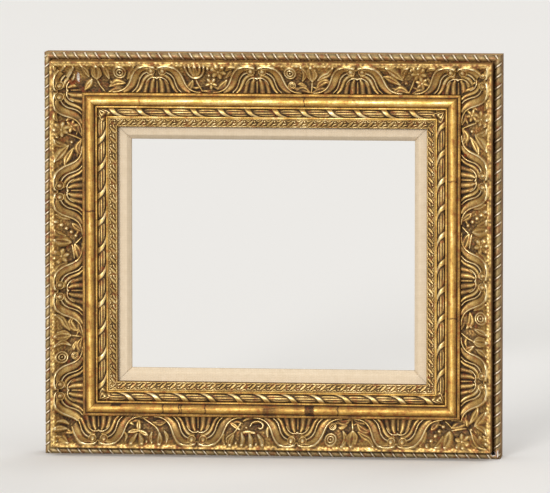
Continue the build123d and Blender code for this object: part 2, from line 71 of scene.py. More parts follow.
# Places across the moulding, as d
ROPE_WIDTH = 7.4
CREST_WIDTH = 2.6
COVE_START = ROPE_WIDTH + CREST_WIDTH
COVE_END = 36.4
FILLET_END = 38.8
TORUS_START = 39.4
TORUS_RADIUS = 4.2
MIDDLE_FILLET = 48.4
RIBBON_START = 50.0
RIBBON_END = 57.8
LEAF_START = 59.4
RABBET_WALL = 61.0
# Levels above the back, as h
LEDGE_HEIGHT = 24.0
CREST_HEIGHT = 44.0
COVE_FOOT = 29.0
COVE_RADIUS = 26.0
FILLET_HEIGHT = 36.9
TORUS_HEIGHT = 41.2
MIDDLE_FILLET_HEIGHT = 36.8
RIBBON_BED = 32.4
INNER_FILLET_HEIGHT = 33.7
LEAF_BED = 31.4
LIP_HEIGHT = 28.6
RABBET_SHOULDER = 22.6
SIGHT_EDGE_HEIGHT = 18.0

# On each rail: where its middle lies, and the directions of s and of outward
RAIL_FRAME = {
    "top": (Vector((0, BACK, OUTER_HEIGHT)), Vector((1, 0, 0)), Vector((0, 0, 1))),
    "right": (Vector((OUTER_WIDTH / 2, BACK, OUTER_HEIGHT / 2)), Vector((0, 0, -1)), Vector((1, 0, 0))),
    "bottom": (Vector((0, BACK, 0)), Vector((-1, 0, 0)), Vector((0, 0, -1))),
    "left": (Vector((-OUTER_WIDTH / 2, BACK, OUTER_HEIGHT / 2)), Vector((0, 0, 1)), Vector((-1, 0, 0))),
}


def rail_matrix(side):
    """Turns (s, -d, h) in millimetres on a rail into a place on the frame in metres."""
    origin, along, outward = RAIL_FRAME[side]
    towards_viewer = Vector((0, -1, 0))
    turn = Matrix((along, outward, towards_viewer)).transposed().to_4x4()
    return Matrix.Scale(MM, 4) @ Matrix.Translation(origin) @ turn


print(f"outer size {OUTER_WIDTH:.1f} by {OUTER_HEIGHT:.1f} mm, moulding {MOULDING_WIDTH:.1f} mm")

# %% [markdown]
# The camera stands where the photographer stood: a long way off with a long lens, a little to the right and
# a little above. A near camera with a short lens would make the rails seem to lean together, which the
# picture doesn't show. The camera aims at the point that falls in the middle of the picture, so the lens
# needs no shift.

# %% Camera
IMAGE_WIDTH, IMAGE_HEIGHT = 550, 493
MM_PER_PIXEL = 0.9145
CAMERA_DISTANCE = 6000.0
CAMERA_AZIMUTH, CAMERA_ELEVATION = 6.4, 5.1
SIGHT_CENTRE_PIXEL = (273.0, 254.5)
SENSOR_WIDTH = 36.0


def compass(azimuth, elevation):
    """The direction of an azimuth and elevation in degrees, seen from the frame. Azimuth 0 is in front."""
    a, e = math.radians(azimuth), math.radians(elevation)
    return Vector((math.sin(a) * math.cos(e), -math.cos(a) * math.cos(e), math.sin(e)))


camera_data = bpy.data.cameras.new("camera")
camera_data.sensor_width = SENSOR_WIDTH
camera_data.lens = SENSOR_WIDTH * CAMERA_DISTANCE / (MM_PER_PIXEL * IMAGE_WIDTH)
camera_data.clip_end = 100
camera = bpy.data.objects.new("camera", camera_data)
bpy.context.scene.collection.objects.link(camera)
back_to_camera = compass(CAMERA_AZIMUTH, CAMERA_ELEVATION)
turn = (-back_to_camera).to_track_quat("-Z", "Y")
right, up = turn @ Vector((1, 0, 0)), turn @ Vector((0, 1, 0))
aim = Vector((0, BACK - SIGHT_EDGE_HEIGHT, OUTER_HEIGHT / 2))
aim += right * (IMAGE_WIDTH / 2 - SIGHT_CENTRE_PIXEL[0]) * MM_PER_PIXEL
aim += up * (SIGHT_CENTRE_PIXEL[1] - IMAGE_HEIGHT / 2) * MM_PER_PIXEL
camera.location = (aim + back_to_camera * CAMERA_DISTANCE) * MM
camera.rotation_mode = "QUATERNION"
camera.rotation_quaternion = turn
bpy.context.scene.camera = camera
print(f"lens {camera_data.lens:.0f} mm")

# %% [markdown]
# Light, finishes and the repeating strips are all built from nodes. Set up one by one, each node takes
# three or four lines, so one small function adds a node, sets it and joins its inputs. Colours are written
# as on a paint chart, in sRGB, and another function turns them into the linear values that shaders work
# with.


# %% Colours and nodes
def linear(code):
    """An sRGB colour such as c79a45 as linear red, green, blue and alpha."""
    values = [int(code[i:i + 2], 16) / 255 for i in (0, 2, 4)]
    return tuple(v / 12.92 if v <= 0.04045 else ((v + 0.055) / 1.055) ** 2.4 for v in values) + (1.0,)


def put(tree, kind, settings=None, inputs=None):
    """Add a node, with its settings, and with inputs that are values or other nodes' outputs."""
    node = tree.nodes.new(kind)
    for name, value in (settings or {}).items():
        if name == "stops":
            ramp = node.color_ramp
            while len(ramp.elements) < len(value):
                ramp.elements.new(1.0)
            for element, (place, code) in zip(ramp.elements, value):
                element.position = place
                element.color = linear(code)
        else:
            setattr(node, name, value)
    for name, value in (inputs or {}).items():
        if isinstance(value, bpy.types.NodeSocket):
            tree.links.new(value, node.inputs[name])
        else:
            node.inputs[name].default_value = value
    return node


print(f"middle grey is {linear('808080')[0]:.2f} in linear light")

# %% [markdown]
# Gold leaf shows its shape by what it mirrors, so the light has a direction: a broad soft sun from the
# front and a little to the upper left, weak ones from the right and from behind, and a world that is
# brighter in front and overhead than below. Area lamps could do this too, but their light fades with
# distance. A sun lights every part of the frame alike, and the one behind it keeps the back readable.

# %% Light
# Each sun's azimuth, elevation, strength and spread, with angles in degrees
SUNS = {"key_light": (-11, 12, 2.3, 16), "fill_light": (50, 20, 0.25, 60), "back_light": (160, 35, 0.6, 40)}
SKY_STOPS = [(0.0, "4a4743"), (0.46, "7d7a75"), (0.54, "b9b7b3"), (1.0, "e6e6e6")]
FRONT_GLOW, BACK_GLOW = 1.25, 0.65

for name, (azimuth, elevation, strength, spread) in SUNS.items():
    data = bpy.data.lights.new(name, "SUN")
    data.energy = strength
    data.angle = math.radians(spread)
    lamp = bpy.data.objects.new(name, data)
    lamp.rotation_mode = "QUATERNION"
    lamp.rotation_quaternion = compass(azimuth, elevation).to_track_quat("Z", "Y")
    bpy.context.scene.collection.objects.link(lamp)

world = bpy.data.worlds.new("studio")
bpy.context.scene.world = world
world.use_nodes = True
sky = world.node_tree
sky.nodes.clear()
direction = put(sky, "ShaderNodeTexCoord")
height = put(sky, "ShaderNodeSeparateXYZ", inputs={0: direction.outputs["Generated"]})
level = put(sky, "ShaderNodeMapRange", inputs={0: height.outputs[2], 1: -1.0, 2: 1.0, 3: 0.0, 4: 1.0})
tint = put(sky, "ShaderNodeValToRGB", {"stops": SKY_STOPS}, {0: level.outputs[0]})
front = put(sky, "ShaderNodeMapRange",
            inputs={0: height.outputs[1], 1: -1.0, 2: 1.0, 3: FRONT_GLOW, 4: BACK_GLOW})
glow = put(sky, "ShaderNodeBackground", inputs={"Color": tint.outputs[0], "Strength": front.outputs[0]})
put(sky, "ShaderNodeOutputWorld", inputs={"Surface": glow.outputs[0]})
bpy.context.scene.view_settings.view_transform = "Standard"
print("lamps:", ", ".join(SUNS))

# %% [markdown]
# The floor is a plain board with matt pale paint. A bright floor throws so much light back up that the gold
# loses its dark hollows. So the camera, and whatever mirrors the floor, sees the pale paint, and only the
# light that the floor scatters comes from a duller grey.

# %% Floor
FLOOR_REACH = 60.0
PAINT_STOPS = [(0.3, "f2f0ec"), (0.7, "f4f2ef")]
SCATTER_GREY = "8d8881"
PAINT_CLOUD_SIZE = 25.0


def new_material(name):
    """An empty node material with its shader joined to the output."""
    material = bpy.data.materials.new(name)
    material.use_nodes = True
    tree = material.node_tree
    tree.nodes.clear()
    shader = put(tree, "ShaderNodeBsdfPrincipled")
    put(tree, "ShaderNodeOutputMaterial", inputs={"Surface": shader.outputs[0]})
    return material, tree, shader


floor_mesh = bpy.data.meshes.new("floor")
corners = [(x * FLOOR_REACH, y * FLOOR_REACH, 0) for x, y in ((-1, -1), (1, -1), (1, 1), (-1, 1))]
floor_mesh.from_pydata(corners, [], [(0, 1, 2, 3)])
floor = bpy.data.objects.new("floor", floor_mesh)
bpy.context.scene.collection.objects.link(floor)
# Matt paint: no shine, and faint clouds where the roller has been
floor_paint, tree, shader = new_material("matt_floor_paint")
cloud = put(tree, "ShaderNodeTexNoise", inputs={"Scale": 1 / (PAINT_CLOUD_SIZE * MM), "Detail": 2.0})
pale = put(tree, "ShaderNodeValToRGB", {"stops": PAINT_STOPS}, {0: cloud.outputs[0]})
path = put(tree, "ShaderNodeLightPath")
seen = path.outputs["Is Camera Ray"]
for ray in ("Is Glossy Ray", "Is Transmission Ray"):
    seen = put(tree, "ShaderNodeMath", {"operation": "MAXIMUM"}, {0: seen, 1: path.outputs[ray]}).outputs[0]
shade = put(tree, "ShaderNodeMix", {"data_type": "RGBA"},
            {0: seen, 6: linear(SCATTER_GREY), 7: pale.outputs[0]})
tree.links.new(shade.outputs[2], shader.inputs["Base Color"])
shader.inputs["Roughness"].default_value = 0.9
floor_mesh.materials.append(floor_paint)
print(f"floor {2 * FLOOR_REACH:.0f} m wide")

# %% [markdown]
# The gilding is gold leaf over red clay bole and white gesso. On the plain mouldings it was burnished, so
# it is bright and mirrors softly; on the ornament it was left matt, then toned with a brown wash that
# stayed in the hollows and was rubbed off the high points. Blender's Pointiness could find the hollows, but
# it sees no further than the next point. Instead each mesh carries an attribute, hollow, that says how deep
# a point lies, and the finish reads it: gold on top, brown wash below. In a few deep places the attribute
# also carries painted shade, which the same ramp turns brown. Where leaf is worn away the red bole shows
# through.

# %% Gilding
# Gold from a ridge, at 0, to a hollow, at 1: matt leaf, dusty leaf that looks greyer, and burnished leaf
GOLD_STOPS = [(0.0, "f0deae"), (0.3, "caa966"), (0.5, "a1814c"), (0.72, "674e2c"), (1.0, "2d1d0e")]
DUSTY_STOPS = [(0.0, "f0e0c6"), (0.3, "cdb488"), (0.5, "a99264"), (0.75, "725d3a"), (1.0, "302114")]
BURNISHED_STOPS = [(0.0, "f5dfa2"), (0.35, "cca457"), (0.6, "a47e40"), (0.8, "6c4a25"), (1.0, "33210f")]
BOLE_RED, GESSO_WHITE, BARE_DARK = "8c4020", "d8d2c6", "22160d"
# The size of patches in the wash, of the gesso's grain, drawn a little coarser than it is, and of worn spots
MOTTLE_SIZE, GRAIN_SIZE, WEAR_SIZE = 11.0, 1.3, 5.0
# How deep the grain is, and how much it changes the tone
GRAIN_DEPTH, GRAIN_SPECKLE = 0.15, 0.09
# Leaf rubs thin on the shoulders of a form first, so the bole shows most between ridge and hollow
SHOULDER_STOPS = [(0.25, "000000"), (0.55, "ffffff"), (0.85, "000000")]
SHOULDER_WEAR = 0.09
# Where the noise of wear starts to show bole, where it shows most, and how much that is
WEAR_START, WEAR_END, WEAR_MOST = 0.56, 0.72, 0.6
# Where a chip starts to show bole, gesso and dark wood, and where it shows nothing else
CHIP_LAYERS = ((0.15, 0.4, BOLE_RED), (0.5, 0.7, GESSO_WHITE), (1.1, 1.3, BARE_DARK))


def gilding(name, stops, roughness, metallic, wash):
    """Gold leaf toned by the hollow attribute, mottled, and worn through to the bole in places."""
    material, tree, shader = new_material(name)
    spot = put(tree, "ShaderNodeTexCoord").outputs["Object"]
    hollow, chip = (put(tree, "ShaderNodeAttribute", {"attribute_name": mark}).outputs["Fac"]
                    for mark in ("hollow", "chip"))
    noises = []
    for size, detail, roughening in ((MOTTLE_SIZE, 4.0, 0.5), (GRAIN_SIZE, 3.0, 0.5), (WEAR_SIZE, 5.0, 0.65)):
        noise = put(tree, "ShaderNodeTexNoise", inputs={
            "Vector": spot, "Scale": 1 / (size * MM), "Detail": detail, "Roughness": roughening})
        noises.append(noise.outputs[0])
    mottle, grain, wear = noises
    tone = hollow
    for noise, swing in ((mottle, wash), (grain, GRAIN_SPECKLE)):
        change = put(tree, "ShaderNodeMapRange", inputs={0: noise, 1: 0.3, 2: 0.7, 3: -swing, 4: swing})
        tone = put(tree, "ShaderNodeMath", {"operation": "ADD"}, {0: tone, 1: change.outputs[0]}).outputs[0]
    colour = put(tree, "ShaderNodeValToRGB", {"stops": stops}, {0: tone}).outputs[0]
    shoulder = put(tree, "ShaderNodeValToRGB", {"stops": SHOULDER_STOPS}, {0: hollow})
    rubbed = put(tree, "ShaderNodeMath", {"operation": "MULTIPLY_ADD"},
                 {0: shoulder.outputs[0], 1: SHOULDER_WEAR, 2: wear})
    thin = put(tree, "ShaderNodeMapRange",
               inputs={0: rubbed.outputs[0], 1: WEAR_START, 2: WEAR_END, 3: 0.0, 4: WEAR_MOST})
    layers = [(thin, BOLE_RED)]
    for low, high, code in CHIP_LAYERS:
        layers.append((put(tree, "ShaderNodeMapRange", inputs={0: chip, 1: low, 2: high}), code))
    for amount, code in layers:
        mixed = put(tree, "ShaderNodeMix", {"data_type": "RGBA"},
                    {0: amount.outputs[0], 6: colour, 7: linear(code)})
        colour = mixed.outputs[2]
    shine = put(tree, "ShaderNodeMapRange", inputs={0: tone, 1: 0.1, 2: 0.85, 3: roughness, 4: 0.75})
    metal = put(tree, "ShaderNodeMapRange", inputs={0: tone, 1: 0.45, 2: 0.85, 3: metallic, 4: 0.1})
    bump = put(tree, "ShaderNodeBump",
               inputs={"Height": grain, "Strength": 0.25, "Distance": GRAIN_DEPTH * MM})
    tree.links.new(colour, shader.inputs["Base Color"])
    for socket, node in (("Roughness", shine), ("Metallic", metal), ("Normal", bump)):
        tree.links.new(node.outputs[0], shader.inputs[socket])
    shader.inputs["Specular IOR Level"].default_value = 0.3
    return material


# Matt leaf glows on its ridges and is brown below. Dusty leaf, on the outer edge, looks greyer and drier
matt_gilding = gilding("matt_gilded_composition", GOLD_STOPS, roughness=0.36, metallic=0.8, wash=0.16)
dusty_gilding = gilding("dusty_gilded_composition", DUSTY_STOPS, roughness=0.42, metallic=0.65, wash=0.14)
print("finishes:", matt_gilding.name, dusty_gilding.name)

# %% [markdown]
# A strip of ornament is a tube that lies along a rail. Its section is a closed loop of points, its front
# follows the moulding, and its relief lifts the front off it. A Boolean could cut both ends at 45 degrees,
# but drawing each point of the section in by its own d at the rail's end gives the same mitre without one.


# %% Helpers for strips
def new_piece(name, mesh, material, replaced, body="frame"):
    """Put a finished mesh into the scene as a piece that stands for its node."""
    piece = bpy.data.objects.new(name, mesh)
    bpy.context.scene.collection.objects.link(piece)
    mesh.materials.clear()
    mesh.materials.append(material)
    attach(piece, body)
    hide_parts(*replaced)
    return piece


def tube_faces(index, ends):
    """Faces over a grid of point numbers whose columns run round. Ends are capped, open or joined."""
    a, d = (index, np.roll(index, -1, axis=0)) if ends == "joined" else (index[:-1], index[1:])
    b, c = np.roll(a, -1, axis=1), np.roll(d, -1, axis=1)
    faces = np.stack([a, b, c, d], axis=-1).reshape(-1, 4).tolist()
    if ends == "capped":
        faces += [index[0][::-1].tolist(), index[-1].tolist()]
    return faces


def mark_points(mesh, name, values):
    """Give each point of a mesh a number."""
    values = np.asarray(values, np.float32).ravel()
    mesh.attributes.new(name, "FLOAT", "POINT").data.foreach_set("value", values)


def tube_mesh(name, points, attributes, ends):
    """A mesh from a grid of points, smooth along its length and flat on its caps."""
    rows, columns = points.shape[:2]
    index = np.arange(rows * columns).reshape(rows, columns)
    mesh = bpy.data.meshes.new(name)
    mesh.from_pydata(points.reshape(-1, 3), [], tube_faces(index, ends))
    for key, values in attributes.items():
        mark_points(mesh, key, np.broadcast_to(values, (rows, columns)))
    smooth = np.ones(len(mesh.polygons), bool)
    smooth[rows * columns - columns:] = ends != "capped"
    mesh.polygons.foreach_set("use_smooth", smooth)
    mesh.update()
    return mesh


def blur(field, reach):
    """A field smoothed over some cells each way."""
    taps = np.exp(-0.5 * (np.arange(-2 * reach, 2 * reach + 1) / reach) ** 2)
    taps /= taps.sum()
    for axis in (0, 1):
        pad = [(2 * reach, 2 * reach) if axis == k else (0, 0) for k in (0, 1)]
        padded = np.pad(field, pad, mode="edge")
        size = field.shape[axis]
        field = sum(w * np.take(padded, np.arange(i, i + size), axis) for i, w in enumerate(taps))
    return field


def hollow_of(lift, reach, depth, middle):
    """How far each point of a relief lies below those near it, from 0 on a ridge to 1 in a hollow."""
    near, far = blur(lift, reach) - lift, blur(lift, 4 * reach) - lift
    return np.clip(middle + near / depth + far / (5 * depth), 0.0, 1.0)


dot = np.zeros((9, 9))
dot[4, 4] = 1
print(f"a dot blurred over one cell keeps {blur(dot, 1).max():.2f} of its height")

# %% [markdown]
# Knocks have chipped the ornament in a few places. A chip shows red bole round its edge, white gesso in its
# middle and, where it is deepest, dark wood. Chips could be cut out of the mesh, but they are thinner than
# a card, and their colours tell more than their depth. So an attribute, chip, marks how far into one each
# point lies.

# %% Chips
# Seen from the front, as (x, z, half width, half height, depth)
CHIPS = (
    (207.4, 5.2, 1.2, 4.6, 0.8), (203.6, 5.4, 2.8, 2.8, 1.4), (-177.2, 346.6, 2.2, 6.4, 0.75),
    (-183.2, 342.5, 5.0, 3.2, 0.34), (177.4, 278.3, 2.0, 2.0, 0.45),
)
CHIP_STEEPNESS, CHIP_RAGGEDNESS = 2.4, 0.12


def mark_chips(mesh):
    """Mark how far into a chip each point lies."""
    spots = np.empty(3 * len(mesh.vertices), np.float32)
    mesh.vertices.foreach_get("co", spots)
    x, _, z = spots.reshape(-1, 3).T / MM
    depth = np.zeros_like(x)
    for chip_x, chip_z, wide, high, deep in CHIPS:
        gap = np.hypot((x - chip_x) / wide, (z - chip_z) / high)
        gap += CHIP_RAGGEDNESS * np.sin(2.1 * x + 1.7 * z)
        depth = np.maximum(depth, deep * np.clip(CHIP_STEEPNESS * (1 - gap), 0, 1))
    mark_points(mesh, "chip", depth)


print("chips:", len(CHIPS))

# %% [markdown]
# The foliage in the cove was pressed in a carved mould, so it is drawn the way a carver draws: as strokes.
# Sculpting by hand or a painted height map could give it too, but strokes stay exact, and a rail of another
# length would get its own. Each stroke is a smooth line through a few points, with a width at each, and
# raises the ground in a round, flat or veined profile.

# %% Carver's strokes
# The fan's lobes lie deep and are toned darker: more of the brown wash, and painted shade
LOBE_WASH_AND_SHADE = 0.08


def smooth_line(stations, count=30):
    """A smooth line through stations of (s, d, half width)."""
    knots = np.array(stations, float)
    padded = np.vstack([2 * knots[0] - knots[1], knots, 2 * knots[-1] - knots[-2]])
    t = np.linspace(0, len(knots) - 1, count)
    i = np.minimum(t.astype(int), len(knots) - 2)
    f = (t - i)[:, None]
    a, b, c, d = (padded[i + k] for k in range(4))
    return 0.5 * (2 * b + (c - a) * f + (2 * a - 5 * b + 4 * c - d) * f**2 + (3 * b - a - 3 * c + d) * f**3)


def profile(form, q):
    """The rise across a stroke, from its middle at q = 0 to its edge at q = 1."""
    if form == "band":
        return (1 - q**6) ** 0.5 * (1 - 0.15 * q**2)
    if form == "leaf":
        return (1 - q**2) ** 0.6 - 0.4 * np.exp(-((q / 0.2) ** 2))
    return np.sqrt(1 - q**2)


def carve(relief, stations, rise, form="round"):
    """Raise one stroke of the relief."""
    line = smooth_line(stations)
    reach = line[:, 2].max()
    low, high = line[:, :2].min(0) - reach, line[:, :2].max(0) + reach
    s, d = relief["s"], relief["d"]
    near = np.nonzero((s > low[0]) & (s < high[0]) & (d > low[1]) & (d < high[1]))
    if len(near[0]) == 0:
        return
    spots = np.stack([s[near], d[near]], -1)[:, None]
    start, step = line[None, :-1, :2], (line[1:, :2] - line[:-1, :2])[None]
    share = np.clip(((spots - start) * step).sum(-1) / np.maximum((step**2).sum(-1), 1e-9), 0, 1)
    gap = np.linalg.norm(spots - start - share[..., None] * step, axis=-1)
    width = line[None, :-1, 2] + share * (line[1:, 2] - line[:-1, 2])[None]
    q = (gap / np.maximum(width, 0.05)).min(-1)
    inside = q < 1
    spot = tuple(axis[inside] for axis in near)
    lift = rise * profile(form, q[inside])
    higher = lift > relief["lift"][spot]
    # A lobe leaves its wash and painted shade in the tone field where it stands highest; any other stroke
    # that stands higher clears it
    relief["tone"][spot] = np.where(higher, LOBE_WASH_AND_SHADE if form == "lobe" else 0, relief["tone"][spot])
    relief["lift"][spot] = np.maximum(relief["lift"][spot], lift)


print(f"a leaf's rise at its vein is {profile('leaf', np.array(0.0)):.1f} of its crest's")

# %% [markdown]
# Berries, eyes and volutes are round, and roses are rings. Spheres and tori could be set on the strip, but
# then they would have to be joined to it. As very short or closed strokes they grow out of the ground like
# the rest.

# %% Balls, rings and flowers
# A petal's places along its length and half widths, as shares of the flower's reach
PETAL = ((0.25, 0.16), (0.68, 0.46), (1.05, 0.3))
FLOWER_TURN = 0.3
# A rose's rings as shares of its reach, with their half widths and rises
ROSE_RINGS = ((0.86, 0.19, 2.7), (0.48, 0.16, 3.2))
PETAL_RISE, EYE_RISE, BERRY_RISE = 2.9, 3.7, 3.2


def ball(relief, s, d, radius, rise):
    """Raise a round berry, eye or volute."""
    carve(relief, [(s - 0.01, d, radius), (s + 0.01, d, radius)], rise)


def ring(relief, s, d, radius, width, rise):
    """Raise a ring, such as the rim of a rose."""
    turns = np.linspace(0, 2 * math.pi, 13)
    carve(relief, [(s + radius * math.cos(t), d + radius * math.sin(t), width) for t in turns], rise)


def flower(relief, s, d, reach, petals):
    """Raise a flower of round petals about an eye."""
    for k in range(petals):
        t = FLOWER_TURN + 2 * math.pi * k / petals
        way = reach * math.cos(t), reach * math.sin(t)
        carve(relief, [(s + r * way[0], d + r * way[1], w * reach) for r, w in PETAL], PETAL_RISE)
    ball(relief, s, d, 0.3 * reach, EYE_RISE)


def rose(relief, s, d, reach):
    """Raise a rose of rings about an eye."""
    for share, width, rise in ROSE_RINGS:
        ring(relief, s, d, share * reach, width * reach, rise)
    ball(relief, s, d, 0.2 * reach, EYE_RISE)


print("rings in a rose:", len(ROSE_RINGS))

# %% [markdown]
# A palmette is two broad arms edged with ribs, which curl into volutes over a fan of lobes. Both halves are
# alike, so only one is listed and the other is mirrored. A stroke is its stations of (s, d, half width),
# the rise of its crest, and its profile. Here s counts from the palmette's middle, and d from the cove's
# outer edge.

# %% Palmette
HALF_PALMETTE = (
    # The broad arm, and the rib on its outer edge that runs out along the foot of the cove
    ([(8.6, 3.2, 1.4), (13.6, 3.8, 2.5), (17.9, 7.6, 3.2), (20.2, 12.8, 3.3), (22.6, 18.4, 3),
      (26.2, 23, 2.3), (30, 25.6, 1.4)], 2.6, "band"),
    ([(0.7, 3.4, 0.8), (2.4, 1, 1), (7, -0.1, 1.15), (13, 0.3, 1.2), (18.4, 3.3, 1.25), (22, 8.2, 1.25),
      (23.9, 12.8, 1.25), (26.2, 18.2, 1.25), (29.8, 22.6, 1.2), (35, 25.2, 1), (40.5, 25.8, 0.7)],
     3.6, "round"),
    # The rib on the arm's inner edge, and the narrow arm inside it
    ([(9, 6.4, 0.6), (12.6, 8.6, 0.85), (15.4, 12.4, 0.9), (16.9, 17, 0.9), (19, 22, 0.85),
      (22.6, 25.8, 0.6)], 3.2, "round"),
    ([(3.2, 9.4, 0.9), (8, 10.2, 1.4), (11.6, 13.6, 1.7), (13.7, 18, 1.7), (15.8, 22.6, 1.6),
      (18.6, 25.8, 1.2)], 2.4, "band"),
    # The fan's lobes, from the middle out, and the rim of the cup that they hang from
    ([(0, 15.6, 0.7), (0, 19, 1.1), (0, 25.8, 1.3)], 2.0, "lobe"),
    ([(2.9, 13.6, 1.5), (4.3, 17.6, 2.5), (4.9, 25.8, 2.9)], 2.7, "lobe"),
    ([(7.4, 15, 1.3), (9.4, 19.4, 2.1), (10.9, 25.8, 2.5)], 2.3, "lobe"),
    ([(1, 11.6, 0.6), (4.8, 11.7, 0.8), (8.6, 14.4, 0.8), (10.6, 18, 0.5)], 3.1, "round"),
    # A leaf beside the arm's end
    ([(31, 20.6, 0.5), (36, 21.8, 1.5), (41, 20, 0.5)], 2.4, "leaf"),
)
# The volute's place, its ring of radius, half width and rise, and the radius and rise of the ball in it
VOLUTE, VOLUTE_RING, VOLUTE_BALL = (5.3, 5.3), (3.4, 0.75, 3.1), (2.9, 4.2)
# The eye over the fan, as d, radius and rise
FAN_EYE = (12.4, 1.5, 3.5)


def carve_palmette(relief, middle):
    """Both halves of a palmette, with its volutes, fan and eye."""
    for hand in (-1, 1):
        for stations, rise, form in HALF_PALMETTE:
            carve(relief, [(middle + hand * s, d, w) for s, d, w in stations], rise, form)
        s, d = VOLUTE
        ring(relief, middle + hand * s, d, *VOLUTE_RING)
        ball(relief, middle + hand * s, d, *VOLUTE_BALL)
    ball(relief, middle, *FAN_EYE)


print("strokes in a palmette:", 2 * len(HALF_PALMETTE))

# %% [markdown]
# Between two palmettes lies a spray: roses, daisies, tulips, lilies, bell flowers, buds or berries, with
# leaves about them. One spray copied along the rail would look pressed from one die, and the real ones
# differ. So there are seven kinds, each listed from its own middle, and each can be turned to either hand.

